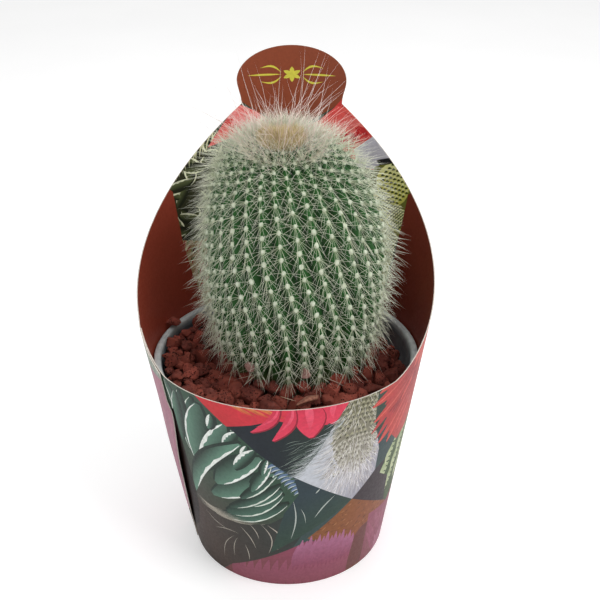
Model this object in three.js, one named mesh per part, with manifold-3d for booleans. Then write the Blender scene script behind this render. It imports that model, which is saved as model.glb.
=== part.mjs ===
// A round, many-ribbed cactus in a plastic nursery pot. The soil is dressed with crushed lava, and the
// pot stands inside a printed card sleeve that is cut low at the front and has a tall head at the back.
// Millimetres, +Z up. The origin is the middle of the pot's underside, on the surface it stands on.
// The sleeve's low edge faces -Y, so the front of the object looks along -Y.
import * as THREE from "three";
import { mergeVertices } from "three/addons/utils/BufferGeometryUtils.js";
import Module from "manifold-3d";

const wasm = await Module();
wasm.setup();

// ---------------------------------------------------------------- driving dimensions
const GAP = 0.3; // clearance between pieces that touch
const DEGREE = Math.PI / 180;

// Card sleeve: one strip of card rolled into a cone. Angles along it are measured from the middle of
// its head, positive towards +X, and the head itself stands HEAD_TURN away from +Y.
const SLEEVE_RADIUS = 40; // inside, at the bottom edge
const SLEEVE_FLARE = 0.153; // growth of the radius for each millimetre of height
const CARD = 0.6;
const HEAD_TURN = 4;
const FRONT_HEIGHT = 94.5;
const SHOULDER_HEIGHT = 168;
const SHOULDER_ANGLE = 18.5;
const FRONT_ANGLE = 130; // beyond this angle the top edge is level
const SHOULDER_POWER = 1.32;
const HEAD_WIDEST_ANGLE = 19.7;
const HEAD_WIDEST_HEIGHT = 177;
const HEAD_HEIGHT = 190.7;
const FLAP_END = -129.5; // the outer end of the strip
const TUCKED_END = 254; // the inner end, under the flap
const FLAP_SLANT = 14.5; // how far the flap's edge leans back at the bottom
const NOTCH_HEIGHT = 83; // where the flap's edge steps back
const NOTCH_DEPTH = 2.6;
const NOTCH_SLOPE = 5;
const FLAP_STAND_OFF = 1;
const FLAP_CURL = 1.3;

// Nursery pot
const POT_RIM_HEIGHT = 86.6;
const POT_RIM_RADIUS = 52.5;
const POT_BASE_RADIUS = 36.5;
const POT_FLOOR = 2.2;
const POT_INNER_BASE = 35.3;
const POT_INNER_RIM = 49.6;
const POT_LIP_HEIGHT = 84.5;
const POT_COLLAR_HEIGHT = 77;
const DRAIN_HOLES = 8;
const DRAIN_RADIUS = 3.5;
const DRAIN_RING = 26;

// Soil and grit
const SOIL_TOP = 62;
const GRIT_TOP = 75.6;
const GRIT_SLOPE = 0.035; // the grit lies higher towards -X
const STONE_COUNT = 50;
const STONE_SIZES = [4.7, 4.3, 3.9, 3.5, 3.1, 2.8]; // half widths, the large stones laid first
const STONE_HEIGHT = 0.78; // height over width

// Cactus stem
const STEM_X = 4.3;
const STEM_Y = 5;
const RIBS = 32;
const RIB_DEPTH = 2.5;
const STEM_BOTTOM = SOIL_TOP + GAP;
const STEM_TOP = 175;
const LEAN_START = 130; // the upper stem leans over from here
const LEAN = 4.6;
const MINOR_RIB_START = 84; // every second rib begins a little above the grit
const MINOR_RIB_FULL = 98;

const POT_SEGMENTS = 48;

// ---------------------------------------------------------------- helpers
// A fixed sequence of numbers from 0 to 1, so that the stones are always the same.
function sequence(seed) {
  let state = seed >>> 0;
  return () => {
    state = (state + 0x6d2b79f5) >>> 0;
    let mixed = Math.imul(state ^ (state >>> 15), 1 | state);
    mixed = (mixed + Math.imul(mixed ^ (mixed >>> 7), 61 | mixed)) ^ mixed;
    return ((mixed ^ (mixed >>> 14)) >>> 0) / 4294967296;
  };
}

function smooth(low, high, value) {
  const t = Math.min(1, Math.max(0, (value - low) / (high - low)));
  return t * t * (3 - 2 * t);
}

// A geometry reduced to shared points, ready to be reshaped or turned into a solid.
function welded(geometry) {
  const plain = geometry.clone();
  plain.deleteAttribute("normal");
  plain.deleteAttribute("uv");
  return mergeVertices(plain, 1e-4);
}

function toSolid(geometry) {
  const shared = welded(geometry);
  const mesh = new wasm.Mesh({
    numProp: 3,
    vertProperties: new Float32Array(shared.getAttribute("position").array),
    triVerts: new Uint32Array(shared.index.array),
  });
  return new wasm.Manifold(mesh);
}

function fromSolid(solid) {
  const mesh = solid.getMesh();
  const geometry = new THREE.BufferGeometry();
  geometry.setAttribute("position", new THREE.BufferAttribute(mesh.vertProperties, 3));
  geometry.setIndex(new THREE.BufferAttribute(mesh.triVerts, 1));
  return geometry;
}

// Turns a profile of [radius, height] pairs about +Z.
function turned(profile, segments) {
  const points = profile.map(([radius, height]) => new THREE.Vector2(radius, height));
  return new THREE.LatheGeometry(points, segments).rotateX(Math.PI / 2);
}

// Moves every point of a geometry through a function that changes it in place.
function reshape(geometry, change) {
  const position = geometry.getAttribute("position");
  const point = new THREE.Vector3();
  for (let i = 0; i < position.count; i += 1) {
    point.fromBufferAttribute(position, i);
    change(point, i);
    position.setXYZ(i, point.x, point.y, point.z);
  }
  return geometry;
}

function part(name, geometry, color, roughness) {
  const finished = geometry.index ? geometry.toNonIndexed() : geometry;
  finished.computeVertexNormals();
  const material = new THREE.MeshStandardMaterial({ color, roughness, metalness: 0 });
  const mesh = new THREE.Mesh(finished, material);
  mesh.name = name;
  return mesh;
}

// ---------------------------------------------------------------- card sleeve
// Height of the cut top edge at an angle from the head, without the head.
function edgeHeight(angle) {
  const away = angle > 180 ? 360 - angle : Math.abs(angle);
  if (away <= SHOULDER_ANGLE) return SHOULDER_HEIGHT;
  const fall = Math.max(0, (FRONT_ANGLE - away) / (FRONT_ANGLE - SHOULDER_ANGLE));
  return FRONT_HEIGHT + (SHOULDER_HEIGHT - FRONT_HEIGHT) * fall ** SHOULDER_POWER;
}

// The flap's edge leans back towards the bottom and steps back above the notch.
function flapEdge(height) {
  const lean = FLAP_SLANT * (1 - height / NOTCH_HEIGHT);
  const step = NOTCH_DEPTH * smooth(NOTCH_HEIGHT - NOTCH_SLOPE, NOTCH_HEIGHT, height);
  return FLAP_END + Math.max(0, lean) + step;
}

// A place on the rolled strip, at an angle and height, on its inner or outer side.
function onSleeve(angle, height, side) {
  const start = -100;
  const flap = smooth(start, start - 8, angle);
  const curl = Math.max(0, start - 8 - angle) / (start - 8 - FLAP_END);
  const lift = FLAP_STAND_OFF * flap + FLAP_CURL * curl * curl;
  const radius = SLEEVE_RADIUS + SLEEVE_FLARE * height + lift + side * CARD;
  const turn = (90 - HEAD_TURN - angle) * DEGREE;
  return [radius * Math.cos(turn), radius * Math.sin(turn), height];
}

function sleeveColumns() {
  const columns = [];
  const left = 18;
  const head = 12;
  const right = 38;
  for (let i = 0; i < left; i += 1) {
    columns.push(FLAP_END + ((-SHOULDER_ANGLE - FLAP_END) * i) / left);
  }
  for (let i = 0; i < head; i += 1) {
    columns.push(-SHOULDER_ANGLE * Math.cos((Math.PI * i) / head));
  }
  for (let i = 0; i <= right; i += 1) {
    columns.push(SHOULDER_ANGLE + ((TUCKED_END - SHOULDER_ANGLE) * i) / right);
  }
  return columns;
}

// The rolled strip as one closed solid: a sheet of [angle, height] points in columns, given thickness.
function sleeveGeometry() {
  const levels = [0, 40, NOTCH_HEIGHT - NOTCH_SLOPE, NOTCH_HEIGHT];
  const upperRows = 5;
  const headRows = 6;
  const places = [];
  const columns = sleeveColumns().map((angle) => {
    const rows = levels.map((height) => [angle, height]);
    const top = edgeHeight(angle);
    for (let i = 1; i <= upperRows; i += 1) {
      rows.push([angle, NOTCH_HEIGHT + ((top - NOTCH_HEIGHT) * i) / upperRows]);
    }
    const across = angle / SHOULDER_ANGLE;
    if (Math.abs(across) <= 1.0001) {
      const arc = Math.sqrt(Math.max(0, 1 - across * across));
      const crown = HEAD_WIDEST_HEIGHT + (HEAD_HEIGHT - HEAD_WIDEST_HEIGHT) * arc;
      for (let i = 1; i <= headRows; i += 1) {
        const height = SHOULDER_HEIGHT + ((crown - SHOULDER_HEIGHT) * i) / headRows;
        const bulge = smooth(SHOULDER_HEIGHT + 1, HEAD_WIDEST_HEIGHT, height);
        const half = SHOULDER_ANGLE + (HEAD_WIDEST_ANGLE - SHOULDER_ANGLE) * bulge;
        rows.push([across * half, height]);
      }
    }
    return rows.map(([where, height]) => {
      const near = smooth(-104, FLAP_END, where);
      const shifted = where + near * (flapEdge(height) - FLAP_END);
      places.push([shifted, height]);
      return places.length - 1;
    });
  });

  const sheet = [];
  for (let c = 0; c + 1 < columns.length; c += 1) {
    const rows = Math.min(columns[c].length, columns[c + 1].length);
    for (let r = 0; r + 1 < rows; r += 1) {
      const [a, b] = [columns[c][r], columns[c + 1][r]];
      const [d, e] = [columns[c][r + 1], columns[c + 1][r + 1]];
      sheet.push([a, b, d], [b, e, d]);
    }
  }

  const edges = new Map();
  for (const [a, b, c] of sheet) {
    for (const [from, to] of [[a, b], [b, c], [c, a]]) {
      if (!edges.delete(`${to},${from}`)) edges.set(`${from},${to}`, [from, to]);
    }
  }
  const count = places.length;
  const index = [];
  for (const [a, b, c] of sheet) {
    index.push(a, b, c, count + a, count + c, count + b);
  }
  for (const [from, to] of edges.values()) {
    index.push(to, from, count + from, to, count + from, count + to);
  }
  const inner = places.flatMap(([angle, height]) => onSleeve(angle, height, 0));
  const outer = places.flatMap(([angle, height]) => onSleeve(angle, height, 1));
  const geometry = new THREE.BufferGeometry();
  geometry.setAttribute("position", new THREE.Float32BufferAttribute([...inner, ...outer], 3));
  geometry.setIndex(index);
  return geometry;
}

// ---------------------------------------------------------------- nursery pot
function potInnerRadius(height) {
  const rise = (height - POT_FLOOR) / (POT_LIP_HEIGHT - POT_FLOOR);
  return POT_INNER_BASE + (POT_INNER_RIM - POT_INNER_BASE) * rise;
}

function potGeometry() {
  const wall = 1.1;
  const profile = [
    [0, 0],
    [POT_BASE_RADIUS - 2, 0],
    [POT_BASE_RADIUS, 1.6],
    [potInnerRadius(POT_COLLAR_HEIGHT) + wall, POT_COLLAR_HEIGHT],
    [50.8, POT_COLLAR_HEIGHT + 0.6],
    [51.5, 84.6],
    [POT_RIM_RADIUS, 85.3],
    [POT_RIM_RADIUS, 86.1],
    [52, POT_RIM_HEIGHT],
    [50.6, POT_RIM_HEIGHT],
    [50, 86.1],
    [POT_INNER_RIM, POT_LIP_HEIGHT],
    [POT_INNER_BASE, POT_FLOOR],
    [0, POT_FLOOR],
  ];
  let pot = toSolid(turned(profile, POT_SEGMENTS));
  for (let i = 0; i < DRAIN_HOLES; i += 1) {
    const turn = (2 * Math.PI * i) / DRAIN_HOLES;
    const drill = new THREE.CylinderGeometry(DRAIN_RADIUS, DRAIN_RADIUS, 8, 12)
      .rotateX(Math.PI / 2)
      .translate(DRAIN_RING * Math.cos(turn), DRAIN_RING * Math.sin(turn), 1);
    pot = pot.subtract(toSolid(drill));
  }
  return fromSolid(pot);
}

// ---------------------------------------------------------------- cactus stem
// Crest radius against height: a buried foot, a barrel and a broad dome with a small dimple.
const STEM_PROFILE = [
  [14, STEM_BOTTOM],
  [18, 66],
  [22.5, 72],
  [25.8, 78],
  [28, 84],
  [30.4, 92],
  [32.4, 104],
  [33.5, 118],
  [33.4, 132],
  [31.8, 144],
  [28.9, 154],
  [24.8, 162],
  [19.4, 168.4],
  [12.6, 172.8],
  [6, STEM_TOP],
];
const STEM_DIMPLE = 1.4;

function stemLean(height) {
  const above = Math.max(0, height - LEAN_START) / (STEM_TOP - LEAN_START);
  return -LEAN * above * above;
}

function stemGeometry() {
  const apex = STEM_TOP - STEM_DIMPLE;
  const profile = [[0, STEM_BOTTOM], ...STEM_PROFILE, [0, apex]];
  const segments = 2 * RIBS;
  return reshape(welded(turned(profile, segments)), (point) => {
    const turn = Math.atan2(point.x, -point.y);
    const crease = Math.round((turn / (2 * Math.PI)) * segments) + segments;
    const minor = smooth(MINOR_RIB_START, MINOR_RIB_FULL, point.z);
    const fade = smooth(STEM_BOTTOM, 80, point.z) * (1 - smooth(160, STEM_TOP, point.z));
    let cut = 0;
    if (crease % 2 === 1) cut = 1;
    else if (crease % 4 === 2) cut = 0.8 * (1 - minor);
    const radius = Math.hypot(point.x, point.y);
    const shrink = radius > 0 ? 1 - (cut * fade * RIB_DEPTH) / radius : 1;
    point.x = point.x * shrink + STEM_X + stemLean(point.z);
    point.y = point.y * shrink + STEM_Y;
  });
}

// The same outline without ribs, a little wider: the space that soil and grit leave for the stem.
function stemSpace() {
  const buried = STEM_PROFILE.filter(([, height]) => height <= 92);
  const wider = buried.map(([radius, height]) => [radius + 2 * GAP, height]);
  const [lowest] = wider;
  lowest[1] -= 2;
  const profile = [[0, lowest[1]], ...wider, [0, 92]];
  return turned(profile, POT_SEGMENTS).translate(STEM_X, STEM_Y, 0);
}

function stemRadius(height) {
  const above = STEM_PROFILE.findIndex(([, z]) => z >= height);
  const [r0, z0] = STEM_PROFILE[above - 1];
  const [r1, z1] = STEM_PROFILE[above];
  return r0 + ((r1 - r0) * (height - z0)) / (z1 - z0);
}

// ---------------------------------------------------------------- soil and grit
function soilGeometry() {
  const profile = [
    [0, POT_FLOOR + GAP],
    [POT_INNER_BASE - GAP, POT_FLOOR + GAP],
    [potInnerRadius(SOIL_TOP) - GAP, SOIL_TOP],
    [0, SOIL_TOP],
  ];
  return turned(profile, POT_SEGMENTS);
}

function gritHeight(x, y) {
  const ripple = 0.5 * Math.sin(x * 0.31 + 1) * Math.cos(y * 0.27);
  return GRIT_TOP - GRIT_SLOPE * x + ripple;
}

function gritGeometry() {
  const bottom = SOIL_TOP + GAP;
  const rings = [44.5, 36, 27, 18, 9];
  const profile = [
    [0, bottom],
    [potInnerRadius(bottom) - GAP, bottom],
    [potInnerRadius(GRIT_TOP - 3) - GAP, GRIT_TOP - 3],
    ...rings.map((radius) => [radius, GRIT_TOP]),
    [0, GRIT_TOP],
  ];
  const bed = reshape(turned(profile, POT_SEGMENTS), (point) => {
    if (point.z > GRIT_TOP - 0.01) point.z = gritHeight(point.x, point.y);
  });
  return fromSolid(toSolid(bed).subtract(toSolid(stemSpace())));
}

// One broken lump: a ball whose points are pulled in by different amounts, never beyond its radius.
function lumpGeometry(random, width, depth, height) {
  const ball = welded(new THREE.IcosahedronGeometry(1, 1));
  return reshape(ball, (point) => {
    const pull = 0.7 + 0.3 * random();
    point.set(point.x * pull * width, point.y * pull * depth, point.z * pull * height);
  });
}

// Stones are laid without touching: each takes a free round place between the stem and the pot's wall.
function stonePlaces() {
  const random = sequence(41);
  const wall = potInnerRadius(GRIT_TOP + 3) - GAP;
  const stem = stemRadius(84) + 2 * GAP;
  const places = [];
  for (const size of STONE_SIZES) {
    for (let attempt = 0; attempt < 6000 && places.length < STONE_COUNT; attempt += 1) {
      const turn = 2 * Math.PI * random();
      const out = wall * Math.sqrt(random());
      const [x, y] = [out * Math.cos(turn), out * Math.sin(turn)];
      const clear =
        out + size < wall &&
        Math.hypot(x - STEM_X, y - STEM_Y) > stem + size &&
        places.every((other) => Math.hypot(x - other.x, y - other.y) > size + other.size + GAP);
      if (clear) places.push({ x, y, size });
    }
  }
  return places;
}

function gritBelow(x, y, reach) {
  const around = [0, 1, 2, 3, 4, 5, 6, 7].map((i) => {
    const turn = (i * Math.PI) / 4;
    return gritHeight(x + reach * Math.cos(turn), y + reach * Math.sin(turn));
  });
  return Math.max(gritHeight(x, y), ...around);
}

function addStones(group) {
  const colors = [0x5b2d29, 0x4c2524, 0x6a3430, 0x55302e, 0x633029];
  stonePlaces().forEach(({ x, y, size }, i) => {
    const random = sequence(900 + i);
    const height = size * STONE_HEIGHT;
    const lump = lumpGeometry(random, size, size, height);
    const mesh = part(`lava_stone_${String(i + 1).padStart(2, "0")}`, lump, colors[i % 5], 0.95);
    mesh.position.set(x, y, gritBelow(x, y, size) + GAP + height);
    group.add(mesh);
  });
  const flake = lumpGeometry(sequence(77), 3.6, 2.4, 1.5);
  const onRim = part("lava_flake_on_rim", flake, colors[2], 0.95);
  onRim.rotation.z = 150 * DEGREE;
  onRim.position.set(-46.2, 20.6, POT_RIM_HEIGHT + GAP + 1.6);
  group.add(onRim);
}

// ---------------------------------------------------------------- litter on the grit and stem foot
function addLitter(group) {
  const chip = reshape(lumpGeometry(sequence(12), 5.6, 1.8, 1.4), (point) => {
    point.y += 0.02 * point.x * point.x;
  });
  const bark = part("bark_chip", chip, 0x6f4034, 0.9);
  bark.rotation.z = 35 * DEGREE;
  bark.position.set(7.6, -34.6, 84.9);
  group.add(bark);

  const budRadius = 2.1;
  const buds = [
    ["dried_bud_right", 0.09],
    ["dried_bud_left", -0.58],
  ];
  buds.forEach(([name, turn], i) => {
    const lump = lumpGeometry(sequence(60 + i), budRadius, budRadius, budRadius);
    const bud = part(name, lump, 0xa8827c, 0.9);
    const height = 92.8;
    const out = stemRadius(height + budRadius) + budRadius + GAP;
    bud.position.set(STEM_X + out * Math.sin(turn), STEM_Y - out * Math.cos(turn), height);
    group.add(bud);
  });
}

// ---------------------------------------------------------------- the whole object
const object = new THREE.Group();
object.add(part("sleeve", sleeveGeometry(), 0x7a3b30, 0.5));
object.add(part("nursery_pot", potGeometry(), 0x6c7478, 0.55));
object.add(part("potting_soil", soilGeometry(), 0x2b1d16, 1));
object.add(part("grit_bed", gritGeometry(), 0x4a2523, 0.95));
object.add(part("cactus_stem", stemGeometry(), 0x3f6c42, 0.6));
addStones(object);
addLitter(object);

export default object;
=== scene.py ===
"""Looks of a potted round cactus: a printed card sleeve, a nursery pot, crushed lava, a ribbed stem,
its white spines and its woolly crown. Lengths are millimetres until a mesh is made; Blender works in
metres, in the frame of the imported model: +Z up, the low front edge of the sleeve towards -Y."""
import logging
import math
from dataclasses import dataclass, field, replace
from enum import Enum
from typing import Optional, Sequence

import bmesh
import bpy
import numpy as np
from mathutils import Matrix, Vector, noise
from mathutils.geometry import delaunay_2d_cdt


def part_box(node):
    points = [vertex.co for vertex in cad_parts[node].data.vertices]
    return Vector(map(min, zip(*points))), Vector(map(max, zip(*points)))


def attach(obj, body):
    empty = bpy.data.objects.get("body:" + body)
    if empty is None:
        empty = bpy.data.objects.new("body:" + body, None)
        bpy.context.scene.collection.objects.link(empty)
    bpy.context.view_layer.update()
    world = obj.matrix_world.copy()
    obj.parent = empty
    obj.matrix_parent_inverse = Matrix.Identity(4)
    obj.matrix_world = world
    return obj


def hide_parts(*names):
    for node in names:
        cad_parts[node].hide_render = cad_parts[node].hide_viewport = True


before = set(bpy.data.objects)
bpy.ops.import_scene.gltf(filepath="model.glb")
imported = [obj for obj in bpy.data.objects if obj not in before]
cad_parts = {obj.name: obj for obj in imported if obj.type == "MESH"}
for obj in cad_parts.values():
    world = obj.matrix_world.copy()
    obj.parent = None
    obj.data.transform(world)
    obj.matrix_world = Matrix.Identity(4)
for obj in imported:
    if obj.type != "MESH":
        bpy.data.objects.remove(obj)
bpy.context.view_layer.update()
MM = 0.001
Array = np.ndarray
Rng = np.random.Generator
Pair = tuple[float, float]
Triple = tuple[float, float, float]
Point = Sequence[float]
Mesh = tuple[Array, Array]
Arrays = tuple[Array, ...]
Inputs = dict[object, object]
Material = bpy.types.Material
Node = bpy.types.Node
NodeTree = bpy.types.NodeTree
log = logging.getLogger("cactus")


# ---------------------------------------------------------------- small tools
def linear(code: str) -> Array:
    """Turns a colour written as six hex digits into linear red, green and blue.

    Args:
        code: the colour, such as "7a3c2b".

    Returns:
        Three numbers from 0 to 1.
    """
    channels = np.array([int(code[i:i + 2], 16) / 255 for i in (0, 2, 4)])
    return np.where(channels <= 0.04045, channels / 12.92, ((channels + 0.055) / 1.055) ** 2.4)


def rgba(code: str) -> tuple[float, float, float, float]:
    """The same colour as a socket's four numbers."""
    return (*(float(c) for c in linear(code)), 1.0)


def smooth(low: float, high: float, value: Array) -> Array:
    """Rises smoothly from 0 at low to 1 at high."""
    t = np.clip((np.asarray(value, float) - low) / (high - low), 0, 1)
    return t * t * (3 - 2 * t)


def unit(vectors: Array) -> Array:
    """Scales each vector to length 1."""
    return vectors / np.maximum(np.linalg.norm(vectors, axis=-1, keepdims=True), 1e-12)


def packed_box(node: str) -> Array:
    """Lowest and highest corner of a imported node, in millimetres."""
    return np.array([tuple(corner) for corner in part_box(node)]) / MM


def turned_faces(rows: int, count: int) -> Array:
    """Triangles of a closed body of rings, whose first and last point follow the rings.

    Args:
        rows: how many rings.
        count: points in each.

    Returns:
        Triangles that face outwards where the rings run from the bottom up and counter-clockwise.
    """
    i, j = (index.ravel() for index in np.meshgrid(np.arange(rows - 1), np.arange(count), indexing="ij"))
    a, b = i * count + j, i * count + (j + 1) % count
    j = np.arange(count)
    after, last = (j + 1) % count, (rows - 1) * count
    return np.vstack([
        np.column_stack([a, b, b + count]), np.column_stack([a, b + count, a + count]),
        np.column_stack([np.full(count, rows * count), after, j]),
        np.column_stack([np.full(count, rows * count + 1), last + j, last + after])])


def rotation(turn: float) -> Array:
    """The matrix that turns rows of x and y by an angle in radians."""
    return np.array([[math.cos(turn), math.sin(turn)], [-math.sin(turn), math.cos(turn)]])


def unit_sphere(subdivisions: int) -> Mesh:
    """Points and triangles of an even ball of radius 1.

    Args:
        subdivisions: how often its triangles are split.

    Returns:
        Points and triangles.
    """
    work = bmesh.new()
    bmesh.ops.create_icosphere(work, subdivisions=subdivisions, radius=1)
    points = np.array([tuple(v.co) for v in work.verts])
    faces = np.array([[v.index for v in f.verts] for f in work.faces])
    work.free()
    return points, faces


def mesh_piece(name: str, points: Array, faces: Array, material: Material) -> bpy.types.Object:
    """Makes a smooth-shaded mesh object.

    Args:
        name: the piece's name.
        points: one row per point, in millimetres.
        faces: one row per face, all with the same number of corners.
        material: the piece's first material.

    Returns:
        The object, linked to the scene.
    """
    mesh = bpy.data.meshes.new(name)
    sides = faces.shape[1]
    mesh.vertices.add(len(points))
    mesh.vertices.foreach_set("co", (np.asarray(points, float) * MM).astype(np.float32).ravel())
    mesh.loops.add(faces.size)
    mesh.loops.foreach_set("vertex_index", faces.astype(np.int32).ravel())
    mesh.polygons.add(len(faces))
    mesh.polygons.foreach_set("loop_start", np.arange(0, faces.size, sides, dtype=np.int32))
    mesh.update(calc_edges=True)
    mesh.validate()
    mesh.shade_smooth()
    mesh.materials.append(material)
    piece = bpy.data.objects.new(name, mesh)
    bpy.context.scene.collection.objects.link(piece)
    return piece


def settle(piece: bpy.types.Object, slot: str, *nodes: str) -> None:
    """Rides a finished piece on the root body and hides the CAD nodes that it stands for.

    Args:
        piece: the finished object.
        slot: not used.
        nodes: the CAD nodes that it replaces.
    """
    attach(piece, "root")
    if nodes:
        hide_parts(*nodes)
    log.info("%s: %d faces", piece.name, len(piece.data.polygons))


def corner_colors(piece: bpy.types.Object, name: str, colors: Array) -> None:
    """Stores one linear colour for each face corner of a piece.

    Args:
        piece: the piece.
        name: the layer's name.
        colors: one row for each corner.
    """
    layer = piece.data.color_attributes.new(name, "FLOAT_COLOR", "CORNER")
    full = np.ones((len(colors), 4), np.float32)
    full[:, :3] = colors
    layer.data.foreach_set("color", full.ravel())


def point_values(piece: bpy.types.Object, name: str, values: Array) -> None:
    """Stores one number for each point of a piece."""
    layer = piece.data.attributes.new(name, "FLOAT", "POINT")
    layer.data.foreach_set("value", np.asarray(values, np.float32))


# ---------------------------------------------------------------- shader effects
class Socket(Enum):
    """Socket kinds of a node group."""

    COLOR = "NodeSocketColor"
    VALUE = "NodeSocketFloat"


def feed(tree: NodeTree, node: Node, values: Inputs) -> None:
    """Sets a node's inputs, by label or number, each to a value or to the output that feeds it.

    Args:
        tree: the tree that holds the node.
        node: the node.
        values: what each input gets.
    """
    for label, value in values.items():
        if isinstance(value, bpy.types.NodeSocket):
            tree.links.new(value, node.inputs[label])
        else:
            node.inputs[label].default_value = value


def add_node(tree: NodeTree, kind: str, values: Optional[Inputs] = None,
        mode: str = "") -> Node:
    """Adds a shader node.

    Args:
        tree: where it goes.
        kind: its type, without the "ShaderNode" that starts it.
        values: what its inputs get.
        mode: the operation of a Math node or the data of a Mix node.

    Returns:
        The node.
    """
    made = tree.nodes.new("ShaderNode" + kind)
    if kind == "Math":
        made.operation = mode
    elif kind == "Mix" and mode:
        made.data_type = mode
    feed(tree, made, values or {})
    return made


class Effects:
    """The node groups that several finishes share. Each is built once, when first asked for."""

    def _group(self, name: str, inputs: Sequence[tuple[str, Socket, object]],
               outputs: Sequence[tuple[str, Socket]]) -> tuple[NodeTree, object, object]:
        """Starts a group with its named sockets.

        Args:
            name: the group's name.
            inputs: name, kind and default of each input.
            outputs: name and kind of each output.

        Returns:
            The tree, the outputs of its input node, and its output node.
        """
        tree = bpy.data.node_groups.new(name, "ShaderNodeTree")
        for label, kind, default in inputs:
            made = tree.interface.new_socket(label, in_out="INPUT", socket_type=kind.value)
            made.default_value = default
        for label, kind in outputs:
            tree.interface.new_socket(label, in_out="OUTPUT", socket_type=kind.value)
        return tree, tree.nodes.new("NodeGroupInput").outputs, tree.nodes.new("NodeGroupOutput")

    def mottle(self) -> NodeTree:
        """Two tones mixed by a soft cloud of noise. Puts out the colour and the mask.

        Returns:
            The group's tree.
        """
        if found := bpy.data.node_groups.get("mottle"):
            return found
        tree, given, end = self._group(
            "mottle",
            [("Base", Socket.COLOR, (1, 1, 1, 1)), ("Accent", Socket.COLOR, (0, 0, 0, 1)),
             ("Scale", Socket.VALUE, 100.0), ("Amount", Socket.VALUE, 1.0)],
            [("Color", Socket.COLOR), ("Mask", Socket.VALUE)])
        place = add_node(tree, "TexCoord").outputs["Object"]
        cloud = add_node(tree, "TexNoise", {"Vector": place, "Scale": given["Scale"], "Detail": 5.0,
            "Roughness": 0.6})
        spread = add_node(tree, "MapRange", {"Value": cloud.outputs["Fac"], "From Min": 0.35,
            "From Max": 0.65})
        mask = add_node(tree, "Math", {0: spread.outputs["Result"], 1: given["Amount"]},
            "MULTIPLY").outputs[0]
        mix = add_node(tree, "Mix", {"Factor": mask, 6: given["Base"], 7: given["Accent"]}, "RGBA")
        feed(tree, end, {"Color": mix.outputs[2], "Mask": mask})
        return tree

    def grain(self) -> NodeTree:
        """Fine even relief from two sizes of noise. Puts out a height.

        Returns:
            The group's tree.
        """
        if found := bpy.data.node_groups.get("grain"):
            return found
        tree, given, end = self._group(
            "grain", [("Scale", Socket.VALUE, 1000.0), ("Coarse", Socket.VALUE, 0.5)],
            [("Height", Socket.VALUE)])
        place = add_node(tree, "TexCoord").outputs["Object"]
        fine = add_node(tree, "TexNoise", {"Vector": place, "Scale": given["Scale"], "Detail": 3.0})
        slower = add_node(tree, "Math", {0: given["Scale"], 1: 0.23}, "MULTIPLY").outputs[0]
        coarse = add_node(tree, "TexNoise", {"Vector": place, "Scale": slower})
        blend = add_node(tree, "Mix", {"Factor": given["Coarse"], 2: fine.outputs["Fac"],
            3: coarse.outputs["Fac"]})
        feed(tree, end, {"Height": blend.outputs[0]})
        return tree

    def pits(self) -> NodeTree:
        """Round gas holes of porous stone. Puts out a mask that is 1 inside a hole, and a height.

        Returns:
            The group's tree.
        """
        if found := bpy.data.node_groups.get("pits"):
            return found
        tree, given, end = self._group(
            "pits", [("Scale", Socket.VALUE, 900.0), ("Size", Socket.VALUE, 0.35)],
            [("Mask", Socket.VALUE), ("Height", Socket.VALUE)])
        place = add_node(tree, "TexCoord").outputs["Object"]
        cells = add_node(tree, "TexVoronoi", {"Vector": place, "Scale": given["Scale"]})
        hole = add_node(tree, "MapRange", {"Value": cells.outputs["Distance"], "From Min": 0.12,
            "From Max": given["Size"], "To Min": 1.0, "To Max": 0.0})
        hole.interpolation_type = "SMOOTHSTEP"
        patch = add_node(tree, "TexNoise", {"Vector": place, "Scale": 260.0})
        gate = add_node(tree, "MapRange", {"Value": patch.outputs["Fac"], "From Min": 0.42,
            "From Max": 0.56})
        mask = add_node(tree, "Math", {0: hole.outputs["Result"], 1: gate.outputs["Result"]},
            "MULTIPLY").outputs[0]
        height = add_node(tree, "Math", {0: 1.0, 1: mask}, "SUBTRACT").outputs[0]
        feed(tree, end, {"Mask": mask, "Height": height})
        return tree


EFFECTS = Effects()


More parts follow.
